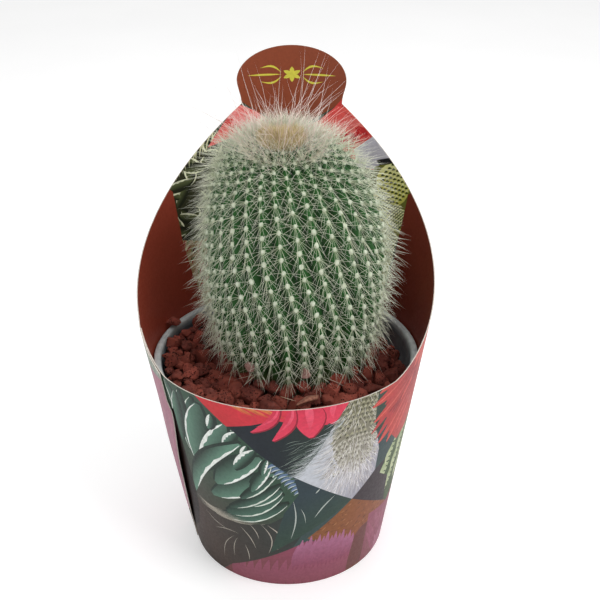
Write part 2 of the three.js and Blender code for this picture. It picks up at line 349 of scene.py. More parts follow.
@dataclass
class Finish:
    """A material under construction: a Principled shader and the nodes that feed it.

    A colour is given as a hex code or as another node's output.

    Attributes:
        name: the material's name.
        roughness: the shader's own roughness where nothing feeds it.
        specular: the strength of its reflections.
    """

    name: str
    roughness: float = 0.6
    specular: float = 0.5
    material: Material = field(init=False)
    shader: Node = field(init=False)

    def __post_init__(self) -> None:
        """Makes the empty material."""
        self.material = bpy.data.materials.new(self.name)
        self.material.use_nodes = True
        self.shader = self.material.node_tree.nodes["Principled BSDF"]
        self.set({"Roughness": self.roughness, "Specular IOR Level": self.specular})

    def set(self, values: Inputs) -> None:
        """Feeds the shader's own inputs."""
        feed(self.material.node_tree, self.shader, values)

    def node(self, kind: str, values: Optional[Inputs] = None,
            mode: str = "") -> Node:
        """Adds a node to the material."""
        return add_node(self.material.node_tree, kind, values, mode)

    def effect(self, tree: NodeTree, **values: object) -> Node:
        """Places a shared effect with its own values.

        Args:
            tree: the effect.
            values: what its inputs get.

        Returns:
            The group node.
        """
        made = self.node("Group")
        made.node_tree = tree
        feed(self.material.node_tree, made, values)
        return made

    def stored(self, name: str, output: str = "Fac") -> object:
        """Reads values that the mesh carries."""
        made = self.node("Attribute")
        made.attribute_name = name
        return made.outputs[output]

    def mottle(self, base: object, accent: object, scale: float, amount: float = 1.0) -> Node:
        """Places the shared clouds of two tones."""
        return self.effect(EFFECTS.mottle(), Base=as_color(base), Accent=as_color(accent), Scale=scale,
            Amount=amount)

    def paint(self, color: object) -> None:
        """Feeds the base colour."""
        self.set({"Base Color": color})

    def dull(self, mask: object, start: float, end: float, full: float = 1.0) -> None:
        """Feeds a roughness that runs from start to end as the mask grows from 0 to full."""
        self.set({"Roughness": self.ramp(mask, 0, full, start, end)})

    def relief(self, height: object, depth: float) -> None:
        """Feeds a height, in metres at full strength, through a bump into the normal."""
        bump = self.node("Bump", {"Strength": 1.0, "Distance": depth, "Height": height})
        self.set({"Normal": bump.outputs["Normal"]})

    def grain(self, scale: float, coarse: float, depth: float) -> None:
        """Gives the surface the shared grain as relief."""
        self.relief(self.effect(EFFECTS.grain(), Scale=scale, Coarse=coarse).outputs["Height"], depth)

    def mix(self, factor: object, first: object, second: object) -> object:
        """Mixes two colours by a factor, and returns the output."""
        values = {"Factor": factor, 6: as_color(first), 7: as_color(second)}
        return self.node("Mix", values, "RGBA").outputs[2]

    def ramp(self, value: object, low: float, high: float, start: float = 0.0, end: float = 1.0) -> object:
        """Maps a value between two limits to another range, and returns the output."""
        values = {"From Min": low, "From Max": high, "To Min": start, "To Max": end, "Value": value}
        return self.node("MapRange", values).outputs["Result"]


def as_color(value: object) -> object:
    """Turns a hex code into a socket's four numbers, and leaves an output as it is."""
    return rgba(value) if isinstance(value, str) else value


# ---------------------------------------------------------------- finishes
@dataclass(frozen=True)
class PrintedCard:
    """Coated card with a printed picture, whose colours the mesh carries."""

    dot_value: float = 0.88
    dot_scale: float = 900.0

    def build(self) -> Material:
        """Makes the print with its fine dots and the card's faint tooth.

        Returns:
            The material.
        """
        finish = Finish("printed_card", 0.45, 0.3)
        ink = finish.stored("print", "Color")
        darker = finish.node("HueSaturation", {"Value": self.dot_value, "Color": ink})
        dots = finish.mottle(ink, darker.outputs["Color"], self.dot_scale)
        finish.paint(dots.outputs["Color"])
        finish.dull(dots.outputs["Mask"], 0.4, 0.5)
        finish.grain(2600.0, 0.4, 0.00003)
        return finish.material


@dataclass(frozen=True)
class DullFinish:
    """A dull, patchy finish of two tones with a grain.

    Attributes:
        name: the material's name.
        base: main colour.
        accent: colour of the patches.
        roughness: how dull it is.
        patches: scale of the patches.
        grain: scale of the grain.
        coarse: share of the grain's coarser half.
        depth: depth of the grain, in metres.
        amount: how far the patches change the colour.
    """

    name: str
    base: str
    accent: str
    roughness: float
    patches: float
    grain: float
    coarse: float
    depth: float
    amount: float = 1.0

    def build(self) -> Material:
        """Makes the material.

        Returns:
            The material.
        """
        finish = Finish(self.name, self.roughness)
        finish.paint(finish.mottle(self.base, self.accent, self.patches, self.amount).outputs["Color"])
        finish.grain(self.grain, self.coarse, self.depth)
        return finish.material


CARD_EDGE = DullFinish("card_edge", "d9d0c6", "b3a79d", 0.85, 1400.0, 5000.0, 0.3, 0.00005, 0.6)
PEAT_SOIL = DullFinish("peat_soil", "2a1c14", "4b3526", 0.95, 500.0, 700.0, 0.6, 0.0006)
DRY_BARK = DullFinish("bark_brown", "7c4a3c", "a8745e", 0.85, 700.0, 1800.0, 0.5, 0.0003)
DRIED_BUD = DullFinish("bud_tan", "b08d84", "8a645a", 0.85, 700.0, 1800.0, 0.5, 0.0003)


@dataclass(frozen=True)
class PotPlastic:
    """Recycled grey nursery-pot plastic: paler towards the top of the lip, slightly streaked."""

    body: tuple[str, str] = ("8b969d", "747f87")
    lip: tuple[str, str] = ("ccd1d0", "aeb4b5")
    lip_start: float = 0.0026
    lip_full: float = 0.0012

    def build(self) -> Material:
        """Makes the finish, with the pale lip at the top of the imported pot.

        Returns:
            The material.
        """
        finish = Finish("pot_plastic", 0.5)
        body = finish.mottle(*self.body, 160.0)
        split = finish.node("SeparateXYZ", {0: finish.node("TexCoord").outputs["Object"]})
        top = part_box("nursery_pot")[1].z
        lip = finish.ramp(split.outputs["Z"], top - self.lip_start, top - self.lip_full)
        # The lip is coloured paler than the body.
        pale_lip = finish.mottle(*self.lip, 300.0)
        finish.paint(finish.mix(lip, body.outputs["Color"], pale_lip.outputs["Color"]))
        finish.dull(body.outputs["Mask"], 0.42, 0.6)
        finish.grain(1500.0, 0.5, 0.00008)
        return finish.material


@dataclass(frozen=True)
class LavaTone:
    """One batch of crushed lava.

    Attributes:
        name: the material's name.
        base: colour of most of the surface.
        rust: the redder patches.
        dust: the pale dust on it.
        pit_shade: painted shade, the near-black colour inside the gas holes.
    """

    name: str
    base: str
    rust: str
    dust: str = "8a6055"
    pit_shade: str = "200c0a"

    def build(self) -> Material:
        """Makes the porous stone finish, with pale dust and with painted shade in its gas holes.

        Returns:
            The material.
        """
        finish = Finish(self.name, 0.92, 0.15)
        body = finish.mottle(self.base, self.rust, 220.0)
        dust = finish.mottle(body.outputs["Color"], self.dust, 900.0, 0.22)
        holes = finish.effect(EFFECTS.pits(), Scale=1050.0, Size=0.42)
        # Painted shade: the gas holes are filled with a near-black colour.
        finish.paint(finish.mix(holes.outputs["Mask"], dust.outputs["Color"], self.pit_shade))
        finish.relief(holes.outputs["Height"], 0.00035)
        return finish.material


@dataclass(frozen=True)
class StemSkin:
    """Waxy green skin with painted shade: near black in the furrows, paler green on the ribs' crests; corky
    at the foot.
    """

    # The furrow colour is painted shade.
    furrow: str = "061d08"
    crest: str = "246124"
    tint: str = "2b5a24"
    cork: tuple[str, str] = ("6f6a45", "4a4a2c")

    def build(self) -> Material:
        """Makes the skin from the crest and the age that the mesh carries.

        Returns:
            The material.
        """
        finish = Finish("stem_skin", 0.5, 0.3)
        # Painted shade: the colour runs from near black in the furrows to green on the crests.
        green = finish.mix(finish.stored("crest"), self.furrow, self.crest)
        tint = finish.mottle(green, self.tint, 420.0, 0.5)
        cork = finish.mottle(*self.cork, 600.0)
        finish.paint(finish.mix(finish.stored("age"), tint.outputs["Color"], cork.outputs["Color"]))
        finish.grain(3200.0, 0.35, 0.00006)
        finish.dull(tint.outputs["Mask"], 0.42, 0.56, 0.5)
        return finish.material


@dataclass(frozen=True)
class HairTone:
    """A finish for spines, hairs or wool.

    Attributes:
        name: the material's name.
        root: colour where the hair leaves the areole.
        tip: colour at its point.
        shade: a second tone in patches.
        roughness: how dull it is.
    """

    name: str
    root: str
    tip: str
    shade: str
    roughness: float

    def build(self) -> Material:
        """Makes the finish, with the colour running along each hair.

        Returns:
            The material.
        """
        finish = Finish(self.name, self.roughness)
        run = finish.mix(finish.stored("along"), self.root, self.tip)
        finish.paint(finish.mottle(run, self.shade, 170.0, 0.45).outputs["Color"])
        finish.set({"Subsurface Weight": 0.15, "Subsurface Radius": (0.001, 0.001, 0.001)})
        finish.grain(4000.0, 0.3, 0.00002)
        return finish.material


# ---------------------------------------------------------------- printed design
@dataclass(frozen=True)
class Shade:
    """Ink that runs from one colour to another along a line across the design.

    Attributes:
        first: colour at the start.
        second: colour at the end.
        start: where the change begins.
        end: where it is complete.
        speckle: how much the ink varies from point to point.
    """

    first: str
    second: str = ""
    start: Pair = (0.0, 0.0)
    end: Pair = (0.0, 1.0)
    speckle: float = 0.08

    def at(self, points: Array) -> Array:
        """The linear colour at each point of the design.

        Args:
            points: rows of across and up.

        Returns:
            Rows of red, green and blue.
        """
        line = np.subtract(self.end, self.start)
        t = np.clip((points - self.start) @ line / max(line @ line, 1e-9), 0, 1)[:, None]
        second = linear(self.second or self.first)
        color = linear(self.first) * (1 - t) + second * t
        jitter = np.sin(points[:, 0] * 12.9898 + points[:, 1] * 78.233) * 43758.5453
        jitter = (jitter - np.floor(jitter) - 0.5) * 2
        return np.clip(color * (1 + self.speckle * jitter[:, None]), 0, 1)

    def mirrored(self, span: float) -> "Shade":
        """The same ink where across becomes the span minus across."""
        return replace(self, start=(span - self.start[0], self.start[1]),
            end=(span - self.end[0], self.end[1]))


@dataclass(frozen=True)
class Motif:
    """One printed shape: its closed outline and its ink."""

    outline: Array
    shade: Shade


@dataclass
class Panel:
    """One cut-out of the collage: shapes that show only inside its outline.

    Attributes:
        outline: the cut-out's corners, or None for shapes printed over everything.
        ground: the ink behind its shapes.
        motifs: its shapes, the last on top.
    """

    outline: Optional[Array]
    ground: Optional[Shade]
    motifs: list[Motif] = field(default_factory=list)

    def add(self, outline: Array, shade: Shade) -> None:
        """Prints one more shape on top."""
        self.motifs.append(Motif(outline, shade))

    def mirrored(self, span: float) -> "Panel":
        """The same cut-out where across becomes the span minus across."""
        outline = None if self.outline is None else mirrored(self.outline, span)
        motifs = [Motif(mirrored(m.outline, span), m.shade.mirrored(span)) for m in self.motifs]
        return Panel(outline, self.ground and self.ground.mirrored(span), motifs)


def mirrored(outline: Array, span: float) -> Array:
    """The same outline where across becomes the span minus across."""
    return np.column_stack([span - outline[:, 0], outline[:, 1]])


def blade(base: Point, tip: Point, width: float, bend: float = 0.0,
          fullness: float = 1.0, steps: int = 8) -> Array:
    """Outline of a leaf, petal or hair between two points.

    Args:
        base: where it starts.
        tip: where it ends.
        width: its greatest width.
        bend: how far its middle swings to the left.
        fullness: below 1 gives blunt ends, above 1 gives fine points.
        steps: points along each side.

    Returns:
        The closed outline.
    """
    base, tip = np.asarray(base, float), np.asarray(tip, float)
    along = tip - base
    across = np.array([-along[1], along[0]]) / max(np.hypot(*along), 1e-9)
    t = np.linspace(0, 1, steps)[:, None]
    middle = base + along * t + across * bend * np.sin(np.pi * t)
    half = 0.5 * width * np.sin(np.pi * np.clip(t, 0.02, 0.98)) ** fullness
    return np.vstack([middle + across * half, (middle - across * half)[::-1]])


def polygon(*corners: Pair) -> Array:
    """A cut-out with straight sides."""
    return np.array(corners, float)


def around(centre: Point, degrees: float, distance: float) -> Array:
    """The point at an angle and distance from a centre."""
    turn = math.radians(degrees)
    return np.asarray(centre, float) + distance * np.array([math.cos(turn), math.sin(turn)])


def edged_leaf(panel: Panel, base: Point, tip: Point, width: float, bend: float,
        side: int, colors: Sequence[str], margin: float = 1.1) -> None:
    """Prints a thick leaf: shaded across, with a pale horny margin along one side.

    Args:
        panel: the cut-out.
        base: where the leaf starts.
        tip: where the leaf ends.
        width: its greatest width.
        bend: how far its middle swings to the left.
        side: which side has the margin: 1 left, -1 right.
        colors: shadow, leaf and margin.
        margin: greatest width of the margin.
    """
    shadow, leaf, pale = colors
    base, tip = np.asarray(base, float), np.asarray(tip, float)
    along = tip - base
    across = np.array([-along[1], along[0]]) / max(np.hypot(*along), 1e-9)
    middle = (base + tip) / 2 + across * bend
    near, far = middle + across * side * width * 0.42, middle - across * side * width * 0.45
    panel.add(blade(base - across * side * 0.8, tip + 0.03 * along - across * side * 0.8, width * 1.12,
        bend, 0.6, 10), Shade(shadow))
    panel.add(blade(base, tip, width, bend, 0.6, 11), Shade(shadow, leaf, tuple(far), tuple(near), 0.06))
    t = np.linspace(0.12, 0.985, 11)[:, None]
    spine = base + along * t + across * bend * np.sin(np.pi * t)
    half = 0.5 * width * np.sin(np.pi * t) ** 0.6
    ripple = 1 + 0.25 * np.sin(t * 37 + base[0])
    inset = margin * np.sin(np.pi * np.clip((t - 0.1) / 0.9, 0, 1)) ** 0.6 * ripple
    outer, inner = spine + across * side * half, spine + across * side * (half - inset)
    panel.add(np.vstack([outer, inner[::-1]]), Shade(pale, speckle=0.15))


def leaf_rosette(panel: Panel, rng: Rng, centre: Point, angles: Pair,
        reach: float, count: int, colors: Sequence[str]) -> None:
    """Prints a fan of thick leaves about a centre, in three rings, the longest ring underneath.

    Args:
        panel: the cut-out.
        rng: the source of chance.
        centre: the middle of the rosette.
        angles: first and last direction, in degrees.
        reach: length of the longest leaves.
        count: leaves in the outer ring.
        colors: shadow, leaf and margin.
    """
    for ring, share in enumerate((1.0, 0.72, 0.45)):
        for i in range(count - 3 * ring):
            degrees = angles[0] + (angles[1] - angles[0]) * (i + 0.5 * ring) / (count - 1 - 3 * ring)
            tip = around(centre, degrees + rng.uniform(-2, 2), reach * share * rng.uniform(0.94, 1.05))
            base = around(centre, degrees, reach * share * 0.1)
            edged_leaf(panel, base, tip, reach * share * 0.34, rng.uniform(0, 1.5), -1, colors)


def petal_fan(panel: Panel, rng: Rng, centre: Point, angles: Pair, reach: float,
        count: int, colors: Sequence[str], width: float = 3.0) -> None:
    """Prints a spray of pointed petals.

    Args:
        panel: the cut-out.
        rng: the source of chance.
        centre: the middle of the flower.
        angles: first and last direction, in degrees.
        reach: length of the petals.
        count: how many petals.
        colors: dark, middle and light tone.
        width: greatest width of a petal.
    """
    dark, middle, light = colors
    for layer, share in enumerate((1.0, 0.8, 0.6)):
        for i in range(count):
            degrees = angles[0] + (angles[1] - angles[0]) * (i + rng.uniform(0.1, 0.9)) / count
            tip = around(centre, degrees, reach * share * rng.uniform(0.85, 1.08))
            first, second = ((dark, middle), (middle, dark), (middle, light))[layer]
            petal = blade(centre, tip, width * rng.uniform(0.8, 1.2), rng.uniform(-1, 1), 0.9, 7)
            panel.add(petal, Shade(first, second, tuple(np.asarray(centre, float)), tuple(tip), 0.1))
            crease = blade(around(centre, degrees, reach * 0.2), 0.2 * np.asarray(centre) + 0.8 * tip,
                0.35, 0, 1, 4)
            panel.add(crease, Shade(dark if layer != 1 else light))


def hair_spray(panel: Panel, rng: Rng, box: tuple[float, float, float, float],
        degrees: Pair, length: Pair, count: int, colors: Sequence[str],
        width: float = 0.3) -> None:
    """Prints many thin hairs over a rectangle.

    Args:
        panel: the cut-out.
        rng: the source of chance.
        box: left, bottom, right and top of where the hairs start.
        degrees: direction at the left and at the right side.
        length: shortest and longest hair.
        count: how many hairs.
        colors: inks to choose from.
        width: width of a hair.
    """
    for _ in range(count):
        x, z = rng.uniform(box[0], box[2]), rng.uniform(box[1], box[3])
        side = (x - box[0]) / (box[2] - box[0])
        turn = degrees[0] + (degrees[1] - degrees[0]) * side + rng.normal(0, 9)
        tip = around((x, z), turn, rng.uniform(*length))
        ink = colors[int(rng.integers(len(colors)))]
        panel.add(blade((x, z), tip, width * rng.uniform(0.7, 1.3), rng.uniform(-0.8, 0.8), 1, 4),
            Shade(ink))


def coiled_cactus(panel: Panel, centre: Point, size: Pair,
        colors: Sequence[str]) -> None:
    """Prints a small round cactus whose ribs wind down it in pale and dark strokes.

    Args:
        panel: the cut-out.
        centre: its middle.
        size: half its width and half its height.
        colors: body, dark furrow and pale spine cluster.
    """
    body, furrow, pale = colors
    turn = np.linspace(0, 2 * np.pi, 20, endpoint=False)
    outline = np.column_stack([centre[0] + size[0] * np.cos(turn), centre[1] + size[1] * np.sin(turn)])
    panel.add(outline, Shade(pale, body, (centre[0], centre[1] + size[1]), tuple(centre)))
    for rib in range(-4, 5):
        shift = rib / 4.2
        for step in range(9):
            t = step / 8 - 0.5
            x = shift + 0.55 * t
            z = 1.75 * t
            if x * x + z * z > 0.86:
                continue
            start = (centre[0] + size[0] * x, centre[1] - size[1] * z)
            panel.add(blade(start, (start[0] + 1.6, start[1] + 0.7), 0.9, 0.3, 0.8, 5), Shade(furrow))
            lift = (start[0], start[1] + 0.9)
            panel.add(blade(lift, (lift[0] + 1.5, lift[1] + 0.7), 0.8, 0.3, 0.8, 5), Shade(pale))


@dataclass
class PrintDesign:
    """The collage on the sleeve. Across is measured in millimetres at MM_PER_DEGREE, up from the foot.

    On the outside, across is 0 at the front and grows to the viewer's right; it reaches 158 at the back
    and 273 at the edge of the flap. On the inside it is 0 at the head and grows towards +X.
    """

    seed: int = 7

    def outside(self) -> list[Panel]:
        """The whole outside, the lowest cut-out first.

        Returns:
            The cut-outs, the lowest first.
        """
        rng = np.random.default_rng(self.seed)
        panels = [Panel(polygon((-90, -5), (300, -5), (300, 200), (-90, 200)),
            Shade("2f4047", "3c4f4c", (0, 60), (20, 25)))]
        panels += self._front_left(rng)
        panels += self._front_top(rng)
        panels += self._front_right(rng)
        panels += self._front_foot(rng)
        panels += self._back(rng)
        return panels

    def _front_left(self, rng: Rng) -> list[Panel]:
        """Leaf rosette, the grey-brown ground under it, and the painted shadow along the flap's edge.

        Args:
            rng: the source of chance.

        Returns:
            The cut-outs, the lowest first.
        """
        foot = Panel(polygon((-80, -5), (-80, 45), (-46, 45), (-20, 42), (-6, 44), (0, 42), (6, 30),
            (0, 20), (-31, 6), (-45, -5)), Shade("463831", "323936", (-40, 15), (-2, 34)))
        for start, end, width, bend in (((-45, 35.2), (-10.4, 35.2), 0.5, -1.6),
                ((-22.3, 31.1), (-15.9, 19.9), 0.4, 1), ((-17.7, 33.7), (-14, 26), 0.4, 0.8),
                ((-9.5, 34.7), (-5.7, 20.8), 0.8, 3.6), ((-12.5, 34.9), (-10, 18.4), 0.5, 3.2),
                ((-21.4, 21), (-20.2, 12.1), 0.4, 0.6), ((-37.4, 24.5), (-24.1, 26.6), 0.3, 1.2),
                ((-26.9, 24.3), (-35.5, 8.5), 0.3, -2), ((-25, 24), (-28.5, 12), 0.3, -1),
                ((-42, 32), (-30, 27), 0.3, -1)):
            foot.add(blade(start, end, width, bend, 0.9, 8), Shade("b7afa2"))
        rosette = Panel(polygon((-80, 35), (-80, 130), (-36, 97), (-29, 90), (-21, 84), (-10, 72), (2, 61),
            (5, 54), (3, 46), (-1, 41), (-8, 36), (-20, 33), (-32, 33), (-46, 36)),
            Shade("45453b", "34503f", (-46, 42), (-34, 66)))
        green, deep = ("22342c", "668f7b", "eef2ec"), ("1d2d26", "4c7161", "dde5da")
        for base, tip, width, bend, side, colors, margin in (((-31, 35.2), (-0.5, 47), 7, -1.9, -1, deep,
                0.6), ((-28.1, 37.7), (-2.2, 51.9), 8, -1.2, -1, deep, 0.7),
                ((-17.1, 44.5), (-2.6, 54.2), 6, 0.2, -1, deep, 0.7),
                ((-34.6, 44.6), (-4.5, 62.4), 9.5, 0, -1, green, 1.0),
                ((-15, 56.4), (-5.3, 63), 4.5, 0.2, -1, green, 0.8),
                ((-31.2, 52.1), (-10, 70.5), 10, 1.3, -1, green, 1.1),
                ((-17.6, 70.4), (-15.2, 76), 2.6, 0, 1, green, 1.1),
                ((-21.3, 62.9), (-12.4, 74.4), 4.5, 0.5, 1, green, 1.5),
                ((-40, 63), (-50, 94), 6.5, -1.0, 1, deep, 0.8),
                ((-41.7, 62), (-35.6, 92.5), 7.5, 1.2, 1, deep, 0.9),
                ((-40.6, 60), (-41.9, 93), 7, 1.6, 1, deep, 0.9),
                ((-29, 68), (-19.8, 82.4), 6.5, 0.6, 1, green, 1.5),
                ((-33, 72), (-27, 87), 5.5, 0.6, 1, green, 1.6),
                ((-38.5, 56), (-33, 90.5), 12.5, 1.0, 1, green, 1.0),
                ((-38.3, 56), (-22.6, 84.5), 10, -0.6, 1, green, 1.6),
                ((-26, 41), (-3.2, 57), 4.5, -1.2, -1, deep, 0.7),
                ((-20, 47.5), (-6, 60.5), 4, -0.4, -1, deep, 0.7),
                ((-15, 52.5), (-6.5, 66.5), 4, 0.2, -1, green, 0.8),
                ((-10, 62), (-7.6, 70), 2.4, 0.3, -1, green, 0.8),
                ((-29.8, 80), (-28, 87.5), 3.4, -0.3, 1, green, 1.3),
                ((-24.5, 73.5), (-18.5, 82), 4, 0.4, 1, green, 1.3),
                ((-47, 66), (-44.5, 91), 6, 0.8, 1, green, 0.5),
                ((-47.6, 39), (-17.6, 76.2), 7, 4.4, -1, green, 1.3)):
            edged_leaf(rosette, base, tip, width, bend, side, colors, margin)
        for i in range(11):
            start = (-46 + 0.4 * i, 38.5 - 0.5 * i)
            rosette.add(blade(start, (-30 + 2.1 * i, 37.5 - 0.3 * i), 0.35, -1.5, 0.9, 7), Shade("a9a294"))
        for i in range(9):
            start = (-8 + 1.25 * i, 66 - 1.7 * i)
            end = (start[0] + 4.5, start[1] + 2.2)
            rosette.add(blade(start, end, 1.5, 0.5, 0.8, 6), Shade("3b5580", "5f7796"))
            rosette.add(blade((start[0], start[1] - 0.8), (end[0] - 0.4, end[1] - 0.9), 0.45, 0.5, 1, 5),
                Shade("cdd6da"))
        # Painted shadow: a near-black strip along the flap's free edge stands for the shaded gap between
        # the card layers.
        painted_gap_shadow = Panel(polygon((-48.4, 80), (-48.2, 66), (-47.4, 54), (-46.6, 39), (-48.2, 28.7),
            (-52.5, 18.3), (-60, 12), (-66, 12), (-66, 80)),
            Shade("20110d", "180c09", (-50, 70), (-54, 20)))
        return [foot, rosette, painted_gap_shadow]

    def _front_top(self, rng: Rng) -> list[Panel]:
        """Red petals along the top edge and the dark field under them.

        Args:
            rng: the source of chance.

        Returns:
            The cut-outs, the lowest first.
        """
        dark = Panel(polygon((-22, 85), (-10, 72), (3, 61), (30, 56), (30, 90), (-14, 90)),
            Shade("18212a", "222f2a", (-8, 74), (12, 78)))
        hair_spray(dark, rng, (3, 62, 16, 80), (215, 200), (4, 11), 90, ("6f7f76", "4a5a50", "8d9a90"),
            0.16)
        teal = Panel(polygon((2, 61.5), (28, 43), (7, 30), (-9, 19), (-2, 42), (4, 52)),
            Shade("2d3d44", "31473c", (4, 50), (12, 32)))
        for start, end, width, bend in (((10.9, 38.3), (19.1, 48.3), 0.6, 0.6),
                ((10.8, 51.6), (12.6, 53.8), 0.6, 0), ((1.8, 48.6), (0.6, 27.6), 0.6, 1.6),
                ((5, 44), (7, 36), 0.3, 0.5)):
            teal.add(blade(start, end, width, bend, 0.8, 8), Shade("b4bcb6"))
        top = Panel(polygon((-36, 97), (-21.9, 83.9), (-12.5, 86.6), (-4, 90), (1, 88), (5, 86), (14, 86),
            (17, 90), (24, 91), (26, 100), (-36, 103)), Shade("cf3037", "d9344f", (-25, 90), (15, 88)))
        for i in range(12):
            start = (-22 + 1.2 * i, 96 - 0.3 * (i % 4))
            end = (start[0] + 8, start[1] - 4.5)
            top.add(blade(start, end, 0.8, 0.4, 1, 6), Shade("d98a4c", "cf4a38", start, end, 0.2))
        petals = [((17, 98), (15.5, 86), 8, -1), ((24, 99), (20, 90), 6, 0),
            ((-2.5, 98), (-12.8, 83.2), 3.4, 2.6), ((6, 99), (8.2, 80.8), 10.5, 0.6),
            ((1.5, 98), (-5.2, 79.8), 4.2, 2.6)]
        tips = Panel(None, None)
        for base, tip, width, bend in petals:
            base, tip = np.array(base, float), np.array(tip, float)
            tips.add(blade(base + (0.5, -0.4), tip + (0.5, -0.4), width, bend, 0.7, 10), Shade("941f33"))
            tips.add(blade(base, tip, width, bend, 0.7, 10),
                Shade("cf2f4b", "e4405c", tuple(base), tuple(tip), 0.06))
            tips.add(blade(base, 0.2 * base + 0.8 * tip, width * 0.28, bend, 1, 6),
                Shade("ee6079", "dd3b57", tuple(base), tuple(tip), 0.1))
        return [dark, teal, top, tips]

    def _front_right(self, rng: Rng) -> list[Panel]:
        """White-haired cactus, red flower, striped leaves and the plain wedge between them.

        Args:
            rng: the source of chance.

        Returns:
            The cut-outs, the lowest first.
        """
        wedge = Panel(polygon((28, 43), (38, 53), (60, 60), (60, 24), (54, 27)), Shade("332d32", "3d3439"))
        green = Panel(polygon((22, 100), (26, 88), (36, 74), (60, 80), (100, 90), (100, 125), (22, 100)),
            Shade("35463c", "283a30", (30, 95), (45, 88)))
        hairy = Panel(polygon((2, 61.5), (6, 65.5), (11, 73), (15, 82), (19, 90), (24, 100), (33, 100),
            (34, 80), (39, 64), (39, 53), (28, 43)), Shade("c5c9d0", "a4a2ad", (8, 62), (30, 60)))
        turn = np.linspace(0, 2 * np.pi, 24, endpoint=False)
        haze = np.column_stack([26.5 + 10.5 * np.cos(turn), 80 + 22 * np.sin(turn)])
        hairy.add(haze, Shade("6d6a50", "a09b90", (26, 92), (25, 56), 0.2))
        hair_spray(hairy, rng, (15, 50, 37, 76), (240, 295), (3, 8), 260,
            ("d9d5d4", "c3bdbb", "9a938f", "e6e3e4"), 0.2)
        for row in range(16):
            for bead in range(11):
                x = 15.4 + 1.9 * bead + 1.0 * (row % 2) + 0.1 * row
                z = 96.5 - 2.3 * row - 0.1 * (bead - 5) ** 2
                if rng.random() < 0.03 * row:
                    continue
                hairy.add(blade((x - 0.8, z), (x + 0.8, z), 1.1, 0.7, 0.8, 5),
                    Shade("a3a084" if row < 9 else "b9b5a6"))
                hairy.add(blade((x - 0.5, z - 0.9), (x + 0.6, z - 0.9), 0.8, 0.3, 0.8, 4),
                    Shade("413f2b" if row < 9 else "6f695c"))
        hair_spray(hairy, rng, (16, 60, 35, 97), (205, 335), (3, 7), 330, ("dcd8cf", "c9c4ba", "8d8876"),
            0.2)
        hair_spray(hairy, rng, (12, 62, 18, 90), (180, 225), (3, 7), 110, ("c9c5c4", "e2dfe0", "8f8b88"),
            0.18)
        hair_spray(hairy, rng, (16, 52, 35, 66), (235, 300), (3, 8), 260,
            ("efedee", "d3cfd2", "a8a2a3", "bdb7b6"), 0.2)
        stray = Panel(None, None)
        for _ in range(150):
            t = rng.random()
            start = (3 + 16 * t + rng.uniform(0, 3), 62 + 27 * t)
            ink = ("9da3a5", "747f7d", "c6cacc")[int(rng.integers(3))]
            stray.add(blade(start, around(start, 195 + 25 * t + rng.normal(0, 12), rng.uniform(3, 8)),
                0.17, 0.5, 1, 4), Shade(ink))
        flower = Panel(None, None)
        flower.add(polygon((36, 100), (38, 90), (39, 82), (42, 73), (46, 67), (52, 61), (60, 63), (76, 78),
            (80, 115)), Shade("a0302f", "b94540", (42, 90), (66, 76)))
        petal_fan(flower, rng, (64, 104), (196, 222), 33, 6, ("8f282c", "b83b3c", "cc524a"), 5.6)
        petal_fan(flower, rng, (64, 104), (222, 256), 42, 7, ("8f282c", "b83b3c", "cc524a"), 5.6)
        petal_fan(flower, rng, (66, 110), (180, 300), 34, 10, ("902b2e", "bb3f3c", "ce574a"), 5.2)
        for base, tip in (((54, 98), (31.5, 87.4)), ((56, 94), (33.5, 79.5)), ((58, 90), (38, 67)),
                ((60, 90), (43.5, 65)), ((64, 92), (50, 67)), ((52, 104), (34, 93))):
            flower.add(blade(base, tip, 5.4, 0.6, 0.75, 9), Shade("8f282c", "c8463f", base, tip, 0.1))
            flower.add(blade(base, tip, 1.0, 0.6, 0.8, 7), Shade("a8323a", "e06a5c", base, tip, 0.1))
        stripes = Panel(polygon((43, 49), (46, 57), (52, 64), (58, 68), (80, 78), (110, 86), (110, 40),
            (70, 24), (54, 27), (52, 32), (51, 43)), Shade("3d5230", "4f6038", (45, 50), (70, 60)))
        for i in range(30):
            base = (42 + 2.3 * i, 34 + 8.5 * (i % 4) + 0.25 * i)
            tip = (base[0] + 5, base[1] + 12)
            stripes.add(blade(base, tip, 5.4, 0.8, 0.6, 9), Shade("c3c9a4", "8ea070", base, tip, 0.15))
            for j in range(5):
                start = (base[0] + 0.2 + 0.85 * j, base[1] + 0.8 + 2.1 * j)
                stripes.add(blade(start, (start[0] + 1.9, start[1] - 1.1), 0.75, 0.3, 0.8, 5),
                    Shade("30482a"))
        return [green, wedge, stripes, hairy, stray, flower]

